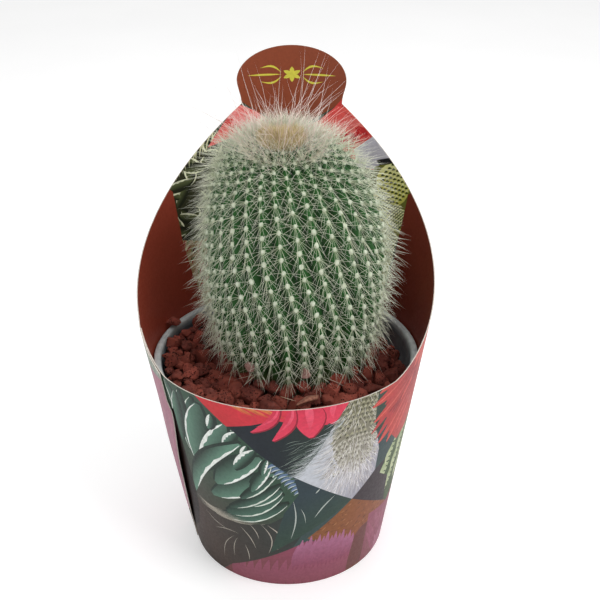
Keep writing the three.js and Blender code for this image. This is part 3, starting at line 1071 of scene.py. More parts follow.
    def _front_foot(self, rng: Rng) -> list[Panel]:
        """Ochre stem and pink petals at the foot.

        Args:
            rng: the source of chance.

        Returns:
            The cut-outs, the lowest first.
        """
        ochre = Panel(polygon((28, 43), (55, 27), (60, 20), (60, -5), (28, -5), (20, 20), (8, 27)),
            Shade("87522f", "8f5138", (20, 30), (45, 10)))
        for _ in range(260):
            x, z = rng.uniform(10, 52), rng.uniform(4, 42)
            tip = around((x, z), 25 + rng.normal(0, 14), rng.uniform(1, 2.6))
            tone = ("a9744a", "5c3524", "96602f", "6e452e")[int(rng.integers(4))]
            ochre.add(blade((x, z), tip, 0.5, 0, 1, 4), Shade(tone))
        pink = Panel(polygon((-45, -6), (-31, 6), (-14, 14.5), (-2, 20.5), (8, 25.5), (34, 20), (33, -6)),
            Shade("8f475d", "7b4648", (8, 20), (0, 0), 0.04))
        for i in range(16):
            base = (-30 + 4.2 * i, -6)
            pink.add(blade(base, (base[0] + 3, 13 + 0.35 * i), 4.5, 1, 0.8, 7),
                Shade("8a4a54", "99526a", base, (base[0], 18), 0.04))
        crown = Panel(None, None)
        for i in range(15):
            base = (1 + 2.1 * i, 9)
            tip = (4 + 2.0 * i, 24.5 + (1.5, 3.6, 2.2, 4.2)[i % 4] - 0.07 * (i - 6) ** 2)
            crown.add(blade(base, tip, 3.2, 0, 0.85, 7), Shade("8b455a", "ab6c8c", base, tip, 0.1))
        brown = Panel(polygon((33, 20), (36, 23), (41, 24), (47, 22), (44, 10), (41, -6), (30, -6),
            (31, 8)), Shade("7a4a3a", "704240"))
        side = Panel(polygon((41, 28), (57, 25.5), (110, 42), (110, -6), (40, -6), (41, 8)),
            Shade("98556a", "885058", (60, 30), (60, 0)))
        petal_fan(side, rng, (66, -14), (50, 130), 42, 14, ("8d4a5f", "a05d72", "ae7086"), 5.5)
        return [ochre, pink, crown, brown, side]

    def _back(self, rng: Rng) -> list[Panel]:
        """Sides and back: the same families of plants, and the plain brown head.

        Args:
            rng: the source of chance.

        Returns:
            The cut-outs, the lowest first.
        """
        red = Panel(polygon((84, 80), (110, 86), (128, 150), (80, 130)), Shade("b8443f", "d4564c"))
        petal_fan(red, rng, (84, 104), (-80, 80), 40, 18, ("a93c40", "d0524f", "e36f62"), 5)
        haired = Panel(polygon((106, 30), (152, 44), (150, 108), (132, 150), (108, 92)),
            Shade("a9adb8", "c3c6cf"))
        hair_spray(haired, rng, (112, 50, 148, 120), (215, 325), (6, 14), 260,
            ("efedea", "8d8972", "55523f", "c6c2ba"), 0.42)
        rosette = Panel(polygon((150, 44), (226, 26), (232, 92), (196, 140), (150, 132)),
            Shade("3d5347", "2c4238"))
        leaf_rosette(rosette, rng, (190, 84), (0, 345), 42, 18, ("22342c", "668f7b", "eef2ec"))
        foot = Panel(polygon((96, -6), (300, -6), (300, 30), (226, 27), (152, 44), (104, 36)),
            Shade("9a5573", "84525c"))
        petal_fan(foot, rng, (130, -16), (40, 140), 44, 15, ("8c4a68", "a55b80", "b673a0"), 5.5)
        petal_fan(foot, rng, (196, -16), (40, 140), 40, 15, ("8c4a68", "a55b80", "b673a0"), 5.5)
        flap = Panel(polygon((222, 24), (300, 10), (300, 100), (228, 92)),
            Shade("b5788b", "a57683", (250, 90), (260, 20)))
        petal_fan(flap, rng, (262, -30), (70, 112), 112, 12, ("a96a80", "bd8094", "cb97a8"), 6)
        pale = Panel(polygon((228, 88), (300, 95), (300, 140), (200, 140)),
            Shade("8f998c", "b9c2b4", (250, 95), (235, 125)))
        for i in range(14):
            base = (222 + 4 * i, 92)
            tip = (226 + 4 * i, 120)
            pale.add(blade(base, tip, 3.2, 1, 0.7, 8), Shade("d5dbcf", "9aa594", base, tip, 0.1))
            pale.add(blade(base, tip, 1.6, 1, 0.8, 8), Shade("5f6e5b", "7f8c78", base, tip, 0.1))
        head = Panel(polygon((118, 200), (118, 140), (140, 132), (176, 132), (198, 140), (198, 200)),
            Shade("7a3c2b", "71382a"))
        turned = Panel(polygon((236, -5), (300, -5), (300, 25), (266, 23), (250, 12)), Shade("463831"))
        return [foot, red, haired, rosette, flap, turned, pale, head]

    def inside(self) -> list[Panel]:
        """The brown inside, with painted light: lighter on the left wall and darker on the right, and the
        collage strip behind the stem.

        Returns:
            The cut-outs, the lowest first.
        """
        rng = np.random.default_rng(self.seed + 1)
        # Painted light: the ground runs from lighter at -X to darker at +X, standing in for the key light
        # from the right falling on the left wall.
        ground = Panel(polygon((-125, -5), (240, -5), (240, 200), (-125, 200)),
            Shade("a64734", "7e3224", (-70, 100), (70, 100), 0.02))
        tab = Panel(polygon((-30, 150), (30, 150), (30, 200), (-30, 200)), Shade("8e4429", speckle=0.02))
        strip = polygon((-60, 152), (-46, 140), (-46, 124), (-44, 104), (-40, 84), (41, 84), (45, 109),
            (46, 124), (46, 139), (60, 152), (18, 170), (13, 165.5), (6, 160), (0, 158), (-6, 160),
            (-12, 164.5), (-18, 170))
        behind = Panel(strip, Shade("3f4a3a", "55523f", (0, 150), (0, 90)))
        hair_spray(behind, rng, (-30, 86, 30, 150), (230, 310), (6, 14), 150,
            ("8d8972", "c6c2ba", "55523f"), 0.45)
        leaves = Panel(polygon((-60, 156), (-24, 158), (-22, 150), (-20, 116), (-40, 114), (-46, 117),
            (-46.5, 138)), Shade("26291b", "3a3b26"))
        olive = ("26291b", "6d764c", "f0f2d2")
        for i in range(26):
            base = (-46 + 1.9 * (i % 12) + rng.uniform(-1, 1), 117 + 1.35 * i + rng.uniform(-2, 2))
            tip = around(base, 60 + 55 * (i % 3) + rng.uniform(-15, 15), rng.uniform(7, 12))
            edged_leaf(leaves, base, tip, 3.6, rng.uniform(-1, 1), 1 - 2 * (i % 2), olive, 0.75)
        for i in range(16):
            base = (-44 + 1.5 * i, 142 + 0.9 * i)
            leaves.add(blade(base, (base[0] + rng.uniform(1, 5), base[1] + 8), 0.5, 1, 1, 6),
                Shade("e4e3b8"))
        fruit = Panel(polygon((-46, 117), (-38, 114), (-20, 116), (-20, 84), (-40, 84), (-44, 101)),
            Shade("a98a68", "b99a72", speckle=0.2))
        for _ in range(130):
            x, z = rng.uniform(-46, -22), rng.uniform(86, 116)
            ink = ("f2e6c0", "552c24", "b2564a", "87925c")[int(rng.integers(4))]
            fruit.add(blade((x, z), around((x, z), rng.uniform(20, 80), 3.2), 1.0, 0.5, 0.8, 5), Shade(ink))
        red_left = Panel(polygon((-30, 152), (-24, 160), (-18, 168), (-12, 164.5), (-4, 157), (-8, 150),
            (-22, 154)), Shade("e04a44", "ef7d78", (-18, 164), (-16, 154)))
        petal_fan(red_left, rng, (-12, 168), (200, 290), 20, 10, ("cc2d30", "ea5048", "f59a98"), 3.4)
        white = Panel(polygon((22, 150), (30, 158), (40, 150), (38, 144), (24, 143)),
            Shade("e9e6ee", "cfccd8"))
        red_right = Panel(polygon((3, 156), (9, 160.5), (14, 166), (18, 172), (46, 157), (38, 147),
            (30, 143), (16, 144), (4, 148)), Shade("d63f3a", "e8635c", (14, 166), (20, 146)))
        petal_fan(red_right, rng, (13, 167), (-105, -22), 22, 12, ("c8262d", "ea4640", "f2746c"), 4.2)
        wedge = Panel(polygon((31, 147.5), (38, 150.5), (42, 144), (34, 144)), Shade("1c1c20"))
        right = Panel(polygon((31, 145), (38, 148), (60, 152), (47, 138), (46, 122), (43, 104), (41, 84),
            (24, 84), (26, 130)), Shade("74782f", "d2c97c", (40, 136), (38, 100)))
        coiled_cactus(right, (39.5, 139.5), (7.5, 8.5), ("e6e270", "3c4a14", "fffdb8"))
        coiled_cactus(right, (42.5, 126), (5, 5), ("ebe684", "3c4a14", "fffdc4"))
        coiled_cactus(right, (35, 129), (5, 6), ("e6e270", "3c4a14", "fffdb8"))
        coiled_cactus(right, (40.5, 114), (5, 6), ("e6df90", "565c2a", "fff9cc"))
        ornament = Panel(None, None)
        gold = Shade("d8cf4a", speckle=0.05)
        for side in (-1, 1):
            for lift, reach in ((0.0, 14.0), (1.6, 10.0), (-1.6, 10.0)):
                ornament.add(blade((side * 3.4, 179 + 0.5 * lift), (side * reach, 179 + lift * 1.7), 0.8,
                    side * lift, 0.9, 8), gold)
        for i in range(6):
            ornament.add(blade((0, 179), around((0, 179), 60 * i + 30, 3.0), 1.5, 0, 0.8, 7), gold)
        return [ground, tab, behind, leaves, fruit, red_right, white, wedge, right, red_left, ornament]


# ---------------------------------------------------------------- card sleeve
MM_PER_DEGREE = 0.9


@dataclass
class CardSleeve:
    """The rolled card strip. Angles are in degrees from the middle of its head, positive towards +X."""

    foot_radius: float = 40.0
    flare: float = 0.153
    card: float = 0.4
    head_turn: float = 4.0
    front_height: float = 94.5
    shoulder_height: float = 168.0
    shoulder_angle: float = 18.5
    front_angle: float = 130.0
    shoulder_power: float = 1.32
    widest_angle: float = 19.7
    widest_height: float = 177.0
    flap_end: float = -129.5
    tucked_end: float = 254.0
    flap_slant: float = 16.0
    notch_height: float = 83.0
    notch_depth: float = 2.6
    notch_slope: float = 5.0
    foot_slant: float = 5.5
    foot_slant_height: float = 26.0
    flap_start: float = -100.0
    flap_run: float = 8.0
    stand_off: float = 1.0
    curl: float = 1.3
    pressed_above: Triple = (0.62, 50.0, 78.0)
    pressed_below: Triple = (0.5, 4.0, 24.0)
    side_limit: float = 2.6
    head_height: float = field(init=False)

    def __post_init__(self) -> None:
        """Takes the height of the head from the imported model."""
        self.head_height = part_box("sleeve")[1].z / MM

    def edge_height(self, angle: float) -> float:
        """Height of the cut top edge at an angle, without the head.

        Args:
            angle: in degrees from the head.

        Returns:
            The height.
        """
        away = 360 - angle if angle > 180 else abs(angle)
        fall = max(0.0, (self.front_angle - away) / (self.front_angle - self.shoulder_angle))
        return self.front_height + (self.shoulder_height - self.front_height) * min(1.0,
            fall) ** self.shoulder_power

    def flap_edge(self, height: float) -> float:
        """Angle of the flap's free edge at a height: it leans back at the foot and steps back at the top.

        Args:
            height: height above the foot.

        Returns:
            The angle, in degrees.
        """
        lean = self.flap_slant * max(0.0, 1 - height / self.notch_height) ** 1.5
        lean += self.foot_slant * max(0.0, 1 - height / self.foot_slant_height) ** 1.5
        return self.flap_end + lean + self.notch_depth * float(
            smooth(self.notch_height - self.notch_slope, self.notch_height, height))

    def outline(self) -> Array:
        """The strip's outline, as across and up, counter-clockwise from the flap's foot.

        Returns:
            Rows of across and up.
        """
        points = [(a, 0.0) for a in spaced(self.flap_edge(0), self.tucked_end, 1.5)]
        points += [(self.tucked_end, z) for z in spaced(0, self.edge_height(self.tucked_end), 4)[1:]]
        points += [(a, self.edge_height(a)) for a in spaced(self.tucked_end, self.shoulder_angle, 1.5)[1:]]
        rows = 8
        for i in range(1, rows):
            z = self.shoulder_height + (self.widest_height - self.shoulder_height) * i / rows
            points.append((self.half_head(z), z))
        for turn in np.linspace(0, np.pi, 41):
            z = self.widest_height + (self.head_height - self.widest_height) * math.sin(turn)
            points.append((self.widest_angle * math.cos(turn), z))
        for i in range(rows - 1, 0, -1):
            z = self.shoulder_height + (self.widest_height - self.shoulder_height) * i / rows
            points.append((-self.half_head(z), z))
        top = self.flap_edge(self.edge_height(self.flap_end))
        points += [(a, self.edge_height(a)) for a in spaced(-self.shoulder_angle, top, 1.5)]
        points += [(self.flap_edge(z), z) for z in spaced(self.edge_height(top), 0, 1.5)[1:-1]]
        outline = np.array(points)
        outline[:, 0] *= MM_PER_DEGREE
        return outline

    def half_head(self, height: float) -> float:
        """Half the head's width, in degrees, between the shoulder and its widest place."""
        bulge = float(smooth(self.shoulder_height + 1, self.widest_height, height))
        return self.shoulder_angle + (self.widest_angle - self.shoulder_angle) * bulge

    def roll(self, flat: Array, side: float) -> Array:
        """Rolls flat points onto the cone.

        Args:
            flat: rows of across and up.
            side: 0 for the inner face, 1 for the outer.

        Returns:
            Rows of x, y and z.
        """
        angle, height = flat[:, 0] / MM_PER_DEGREE, flat[:, 1]
        full = self.flap_start - self.flap_run
        lift = self.stand_off * smooth(0, self.flap_run, self.flap_start - angle)
        lift = lift + self.curl * (np.maximum(0, full - angle) / (full - self.flap_end)) ** 2
        above, *rise = self.pressed_above
        below, *fall = self.pressed_below
        lift = lift * (1 - above * smooth(*rise, height)) * (1 - below * (1 - smooth(*fall, height)))
        radius = self.foot_radius + self.flare * height + lift + side * self.card
        turn = np.radians(90 - self.head_turn - angle)
        return np.column_stack([radius * np.cos(turn), radius * np.sin(turn), height])

    def printed_sheet(self, panels: list[Panel], outline: Array) -> tuple[Array, Array, Array]:
        """Cuts the flat strip along every printed outline and inks each face.

        Args:
            panels: the collage, in strip coordinates.
            outline: the strip's outline.

        Returns:
            Flat points, triangles and one colour for each triangle corner.
        """
        loops = [outline] + [p.outline for p in panels if p.outline is not None]
        loops += [m.outline for p in panels for m in p.motifs]
        low, high = outline.min(0) - 1, outline.max(0) + 1
        points, edges = [], []
        for loop in loops:
            if (loop.max(0) < low).any() or (loop.min(0) > high).any():
                continue
            dense = subdivided(loop, self.side_limit)
            first = len(points)
            points += dense.tolist()
            edges += [(first + i, first + (i + 1) % len(dense)) for i in range(len(dense))]
        grid = [(x, z) for z in np.arange(2.5, high[1], 5.0) for x in np.arange(low[0], high[0], 2.7)]
        points += [p for p, keep in zip(grid, inside_of(np.array(grid), outline)) if keep]
        result = delaunay_2d_cdt([Vector(p) for p in points], edges, [], 0, 1e-4, False)
        flat = np.array([tuple(v) for v in result[0]])
        faces = np.array(result[2])
        middle = flat[faces].mean(1)
        keep = inside_of(middle, outline)
        faces, middle = faces[keep], middle[keep]
        used, numbers = np.unique(faces, return_inverse=True)
        flat, faces = flat[used], numbers.reshape(-1, 3)
        corners = flat[faces].reshape(-1, 2)
        colors = np.zeros((len(corners), 3))
        for panel in panels:
            shown = np.ones(len(middle), bool) if panel.outline is None else inside_of(middle,
                panel.outline)
            layers = [(shown, panel.ground)] if panel.ground else []
            layers += [(shown & inside_of(middle, m.outline), m.shade) for m in panel.motifs]
            for mask, shade in layers:
                rows = np.repeat(mask, 3)
                if rows.any():
                    colors[rows] = shade.at(corners[rows])
        return flat, faces, colors

    def build(self, design: PrintDesign) -> None:
        """Makes the sleeve: both printed faces, joined round the rim by the white cut edge.

        Args:
            design: what is printed on it.
        """
        outline = self.outline()
        front = (180 - self.head_turn) * MM_PER_DEGREE
        outside = [panel.mirrored(front) for panel in design.outside()]
        outer, outer_faces, outer_ink = self.printed_sheet(outside, outline)
        inner, inner_faces, inner_ink = self.printed_sheet(design.inside(), outline)
        points = np.vstack([self.roll(outer, 1), self.roll(inner, 0)])
        faces = np.vstack([outer_faces[:, ::-1], inner_faces + len(outer)])
        rim = self._rim(outer, outer_faces, inner, inner_faces)
        piece = mesh_piece("sleeve_card", points, np.vstack([faces, rim]), PrintedCard().build())
        ink = np.vstack([outer_ink.reshape(-1, 3, 3)[:, ::-1].reshape(-1, 3), inner_ink,
            np.ones((3 * len(rim), 3))])
        corner_colors(piece, "print", ink)
        piece.data.materials.append(CARD_EDGE.build())
        slots = np.zeros(len(faces) + len(rim), np.int32)
        slots[len(faces):] = 1
        piece.data.polygons.foreach_set("material_index", slots)
        piece.data.set_sharp_from_angle(angle=math.radians(40))
        settle(piece, "sleeve_card", "sleeve")

    def _rim(self, outer: Array, outer_faces: Array, inner: Array, inner_faces: Array) -> Array:
        """Triangles that join the borders of the two faces: the card's cut edge.

        Args:
            outer: flat points of the outer face.
            outer_faces: its triangles.
            inner: flat points of the inner face.
            inner_faces: its triangles.

        Returns:
            Triangles, with the inner points numbered after the outer ones.
        """
        first, second = border(outer, outer_faces), border(inner, inner_faces)
        far, near = border_shares(outer[first]), border_shares(inner[second])
        triangles = []
        i = j = 0
        while i < len(first) or j < len(second):
            a, b = first[i % len(first)], second[j % len(second)] + len(outer)
            if j >= len(second) or (i < len(first) and far[i + 1] <= near[j + 1]):
                triangles.append((a, first[(i + 1) % len(first)], b))
                i += 1
            else:
                triangles.append((a, second[(j + 1) % len(second)] + len(outer), b))
                j += 1
        return np.array(triangles)


def spaced(low: float, high: float, step: float) -> Array:
    """Even numbers from low to high, about a step apart."""
    return np.linspace(low, high, max(2, int(abs(high - low) / step) + 1))


def border(flat: Array, faces: Array) -> list[int]:
    """The points round the border of a flat sheet, in order, from the one at the lower left.

    Args:
        flat: the sheet's points.
        faces: its triangles.

    Returns:
        The numbers of the points.
    """
    sides = np.vstack([faces[:, [0, 1]], faces[:, [1, 2]], faces[:, [2, 0]]])
    known = {(int(a), int(b)) for a, b in sides}
    following = {a: b for a, b in known if (b, a) not in known}
    start = min(following, key=lambda i: (round(flat[i, 1], 3), round(flat[i, 0], 3)))
    loop = [start]
    while following[loop[-1]] != start:
        loop.append(following[loop[-1]])
    return loop


def border_shares(loop: Array) -> Array:
    """Distance travelled round a closed loop at each of its points, and at last back at the start."""
    sides = np.hypot(*(np.roll(loop, -1, axis=0) - loop).T)
    return np.concatenate([[0], np.cumsum(sides) / sides.sum()])


def subdivided(loop: Array, longest: float) -> Array:
    """Adds points to a closed outline so that no side is longer than a limit.

    Args:
        loop: the outline.
        longest: the limit.

    Returns:
        The denser outline.
    """
    points = []
    for start, end in zip(loop, np.roll(loop, -1, axis=0)):
        count = max(1, int(math.ceil(np.hypot(*(end - start)) / longest)))
        points += [start + (end - start) * i / count for i in range(count)]
    return np.array(points)


def inside_of(points: Array, outline: Array) -> Array:
    """Tells which points lie inside a closed outline.

    Args:
        points: rows of across and up.
        outline: the closed outline.

    Returns:
        One truth value for each point.
    """
    inside = np.zeros(len(points), bool)
    low, high = outline.min(0), outline.max(0)
    near = np.nonzero(((points >= low) & (points <= high)).all(1))[0]
    if not len(near):
        return inside
    x, y = points[near, 0], points[near, 1]
    odd = np.zeros(len(near), bool)
    for (x0, y0), (x1, y1) in zip(outline, np.roll(outline, -1, axis=0)):
        if y0 == y1:
            continue
        crosses = (y0 > y) != (y1 > y)
        odd ^= crosses & (x < (x1 - x0) * (y - y0) / (y1 - y0) + x0)
    inside[near] = odd
    return inside


# ---------------------------------------------------------------- nursery pot
@dataclass
class NurseryPot:
    """The thin plastic pot with its rolled lip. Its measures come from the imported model."""

    segments: int = 144
    wall: float = 1.1
    floor: float = 2.2
    inner_base: float = 35.3
    inner_rim: float = 49.6
    lip_height: float = 84.5
    collar: float = 77.0
    holes: int = 8
    hole_radius: float = 3.5
    hole_ring: float = 26.0

    def profile(self) -> Array:
        """Radius and height round the section, from the middle of the underside to the inner floor.

        Returns:
            Rows of radius and height.
        """
        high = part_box("nursery_pot")[1]
        rim, top = high.x / MM, high.z / MM
        slope = (self.inner_rim - self.inner_base) / (self.lip_height - self.floor)
        collar_radius = self.inner_base + slope * (self.collar - self.floor) + self.wall
        foot = self.inner_base + 1.2
        lip = [(rim - 1.15 + 1.15 * math.cos(a), top - 1.0 + 1.0 * math.sin(a))
            for a in np.linspace(-0.9, 1.57, 7)]
        roll = [(self.inner_rim + 1.2 - 1.2 * math.sin(a), top - 1.2 + 1.2 * math.cos(a))
            for a in np.linspace(0, 1.5, 6)]
        rings = []
        for i in range(9):
            level = self.lip_height - 1.5 - i * (self.lip_height - self.floor - 4) / 8
            inner = self.inner_base + slope * (level - self.floor)
            rings += [(inner, level + 0.3), (inner - 0.08, level), (inner, level - 0.3)]
        outside = [(0.0, 0.6), (self.hole_ring + 6, 0.6), (foot - 4, 0.5), (foot - 3.4, 0.0),
            (foot - 1.2, 0.0), (foot - 0.3, 0.5), (foot, 1.6), (collar_radius - 0.05, self.collar - 0.3),
            (collar_radius + 0.3, self.collar), (50.6, self.collar + 0.4), (50.9, self.collar + 1.0),
            (51.4, 84.2)]
        inside = [(self.inner_base, self.floor + 0.6), (self.inner_base - 0.6, self.floor),
            (0.0, self.floor)]
        return np.array(outside + lip + roll + rings + inside)

    def build(self) -> None:
        """Turns the section, then drills the drainage holes."""
        profile = self.profile()
        count = self.segments
        turn = np.linspace(0, 2 * np.pi, count, endpoint=False)
        radius, height = profile[1:-1, :1], profile[1:-1, 1:]
        rings = np.stack([radius * np.cos(turn), radius * np.sin(turn), np.repeat(height, count, axis=1)],
            -1)
        points = np.vstack([rings.reshape(-1, 3), [(0, 0, profile[0, 1]), (0, 0, profile[-1, 1])]])
        piece = mesh_piece("pot_body", points, turned_faces(len(rings), count), PotPlastic().build())
        self._drill(piece)
        piece.data.set_sharp_from_angle(angle=math.radians(50))
        settle(piece, "pot_plastic", "nursery_pot")

    def _drill(self, piece: bpy.types.Object) -> None:
        """Cuts the round drainage holes through the floor.

        Args:
            piece: the pot.
        """
        work = bmesh.new()
        for i in range(self.holes):
            turn = 2 * math.pi * i / self.holes
            place = Vector((self.hole_ring * math.cos(turn), self.hole_ring * math.sin(turn), 1.0)) * MM
            made = bmesh.ops.create_cone(work, cap_ends=True, segments=32, radius1=self.hole_radius * MM,
                radius2=self.hole_radius * MM, depth=8 * MM)
            bmesh.ops.translate(work, verts=made["verts"], vec=place)
        mesh = bpy.data.meshes.new("drills")
        work.to_mesh(mesh)
        work.free()
        drills = bpy.data.objects.new("drills", mesh)
        bpy.context.scene.collection.objects.link(drills)
        cut = piece.modifiers.new("holes", "BOOLEAN")
        cut.operation = "DIFFERENCE"
        cut.object = drills
        finished = bpy.data.meshes.new_from_object(piece.evaluated_get(
            bpy.context.evaluated_depsgraph_get()))
        piece.modifiers.clear()
        piece.data = finished
        bpy.data.objects.remove(drills)


# ---------------------------------------------------------------- crushed lava
@dataclass
class LavaDressing:
    """The crushed lava on the soil: one lump for each packed stone, and finer pieces between them."""

    seed: int = 23
    grit_top: float = 75.6
    slope: float = 0.035
    wall_radius: float = 49.0
    bank: float = 7.0
    bank_start: float = 31.0
    bank_full: float = 44.0
    tries: int = 6000
    packing: float = 0.76
    stem_clearance: float = 24.0
    collar_tries: int = 900
    collar_sizes: Pair = (3.4, 1.8)
    collar_reach: Pair = (27.5, 36.5)
    collar_spread: float = 1.9
    collar_packing: float = 0.82
    collar_height: float = 83.8
    tones: list[Material] = field(default_factory=list)

    def lump(self, rng: Rng, subdivisions: int, sharpness: int) -> Mesh:
        """A broken, porous lump that fits a unit box.

        Args:
            rng: the source of its shape.
            subdivisions: fineness of the mesh.
            sharpness: how many flat breaks it has.

        Returns:
            Points and triangles.
        """
        ball, faces = unit_sphere(subdivisions)
        directions = unit(ball)
        planes = unit(rng.normal(size=(sharpness, 3)))
        depth = rng.uniform(0.5, 0.9, sharpness)
        facing = directions @ planes.T
        reach = np.where(facing > 0.05, depth / np.maximum(facing, 0.05), 9).min(1)
        reach = np.minimum(reach, 1.1)
        offset = Vector(tuple(rng.uniform(-50, 50, 3)))
        rough = np.array([noise.fractal(Vector(d) * 2.6 + offset, 0.9, 2.2, 4) for d in directions])
        bite = np.array([noise.noise(Vector(d) * 5.5 + offset) for d in directions])
        reach = reach * (1 + 0.05 * rough - 0.16 * np.clip(bite - 0.2, 0, 1))
        points = directions * reach[:, None]
        middle = (points.max(0) + points.min(0)) / 2
        return (points - middle) / ((points.max(0) - points.min(0)) / 2), faces

    def surface(self, x: float, y: float) -> float:
        """Height of the bed under the lumps: it is banked up against the left wall."""
        out = max(math.hypot(x, y), 1.0)
        return self.grit_top - self.slope * x + self.bank * max(0.0, -x / out) * float(
            smooth(self.bank_start, self.bank_full, out))

    def build(self) -> None:
        """Makes every lump, the finer pieces and the dressed bed."""
        rng = np.random.default_rng(self.seed)
        self.tones = [LavaTone("lava_dark", "602e28", "783a30").build(),
            LavaTone("lava_red", "864236", "9c4c3f").build(),
            LavaTone("lava_brown", "72372e", "8d4638").build()]
        names = sorted(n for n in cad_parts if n.startswith("lava_"))
        for number, node in enumerate(names):
            self._replace(rng, node, number)
        placed = []
        for node in names:
            low, high = packed_box(node)
            placed.append((*((low + high) / 2)[:2], 0.25 * (high - low)[:2].sum()))
        self._scatter(rng, "lava_grit_medium", placed, (3.4, 1.3), (0.62, 0.9), 3)
        self._scatter(rng, "lava_grit_crumbs", [], (2.0, 0.8), (-0.5, 0.5), 2)
        self._collar(rng)
        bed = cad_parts["grit_bed"]
        bed.data.materials.clear()
        bed.data.materials.append(self.tones[0])

    def _replace(self, rng: Rng, node: str, number: int) -> None:
        """Makes the detailed lump that stands for one packed stone.

        Args:
            rng: the source of chance.
            node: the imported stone.
            number: its place in the list.
        """
        low, high = packed_box(node)
        points, faces = self.lump(rng, 4, 12)
        grow = 1.25 if node.endswith("rim") else rng.uniform(1.02, 1.16)
        half = (high - low) / 2 * np.array([grow, grow, 1.12])
        piece = mesh_piece(node + "_look", points * half + (low + high) / 2, faces,
            self.tones[1 if node.endswith("rim") else number % 3])
        piece.data.set_sharp_from_angle(angle=math.radians(24))
        settle(piece, "lava", node)

    def _scatter(self, rng: Rng, name: str, placed: list, sizes: Pair,
            lift: Pair, fineness: int) -> None:
        """Fills the gaps with smaller pieces, the largest first, as one mesh for each tone.

        Args:
            rng: the source of their places and shapes.
            name: start of the pieces' names.
            placed: across, along and half width of what already lies there.
            sizes: largest and smallest half width.
            lift: lowest and highest centre above the bed, in half widths.
            fineness: subdivisions of one piece.
        """
        axis = self._stem_axis()
        batches: list[list[Mesh]] = [[], [], []]
        for attempt in range(self.tries):
            size = sizes[0] + (sizes[1] - sizes[0]) * attempt / self.tries
            turn, out = rng.uniform(0, 2 * np.pi), self.wall_radius * math.sqrt(rng.random())
            x, y = out * math.cos(turn), out * math.sin(turn)
            if out + size * 0.9 > self.wall_radius:
                continue
            if math.hypot(x - axis[0], y - axis[1]) < self.stem_clearance + size:
                continue
            if any(math.hypot(x - px, y - py) < self.packing * (size + pr) for px, py, pr in placed):
                continue
            placed.append((x, y, size))
            level = self.surface(x, y) + rng.uniform(*lift) * size
            batches[len(placed) % 3].append(self._fragment(rng, size, (x, y, level), fineness))
        self._pour(name, batches)

    def _stem_axis(self) -> Array:
        """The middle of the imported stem."""
        return packed_box("cactus_stem").mean(0)

    def _fragment(self, rng: Rng, size: float, place: Point, fineness: int) -> Mesh:
        """One loose piece of a half width, turned at random and set down at a place.

        Args:
            rng: the source of chance.
            size: half its width.
            place: its centre.
            fineness: subdivisions of its mesh.

        Returns:
            Points and triangles.
        """
        points, faces = self.lump(rng, fineness, 11)
        points = points * np.array([1.05, rng.uniform(0.8, 1.1), rng.uniform(0.7, 0.95)]) * size
        points[:, :2] = points[:, :2] @ rotation(rng.uniform(0, 2 * np.pi))
        return points + place, faces

    def _pour(self, name: str, batches: list[list[Mesh]]) -> None:
        """Joins each batch of pieces into one mesh with its own tone.

        Args:
            name: start of the pieces' names.
            batches: pieces for each tone.
        """
        for tone, batch in enumerate(batches):
            starts = np.cumsum([0] + [len(p) for p, _ in batch])
            points = np.vstack([p for p, _ in batch])
            faces = np.vstack([f + s for (_, f), s in zip(batch, starts)])
            piece = mesh_piece(f"{name}_{tone + 1}", points, faces, self.tones[tone])
            piece.data.set_sharp_from_angle(angle=math.radians(26))
            settle(piece, "lava")

    def _collar(self, rng: Rng) -> None:
        """Heaps pieces against the front of the stem's foot, where they hide its lowest spines.

        Args:
            rng: the source of chance.
        """
        axis = self._stem_axis()
        batches: list[list[Mesh]] = [[], [], []]
        placed: list[Triple] = []
        large, small = self.collar_sizes
        for attempt in range(self.collar_tries):
            size = large - (large - small) * attempt / self.collar_tries
            turn = rng.uniform(-self.collar_spread, self.collar_spread)
            away = rng.uniform(*self.collar_reach)
            x, y = axis[0] + away * math.sin(turn), axis[1] - away * math.cos(turn)
            if math.hypot(x, y) + size > self.wall_radius:
                continue
            if any(math.hypot(x - px, y - py) < self.collar_packing * (size + pr) for px, py, pr in placed):
                continue
            placed.append((x, y, size))
            level = self.collar_height - 0.42 * (away - self.collar_reach[0]) - 1.2 * abs(turn)
            level += rng.uniform(-0.6, 0.6)
            batches[len(placed) % 3].append(self._fragment(rng, size, (x, y, level), 3))
        self._pour("lava_collar", batches)


# ---------------------------------------------------------------- stem
@dataclass
class Areoles:
    """Where the spines grow: a place, an outward direction and an upward direction for each areole."""

    places: Array
    normals: Array
    upward: Array
    from_apex: Array


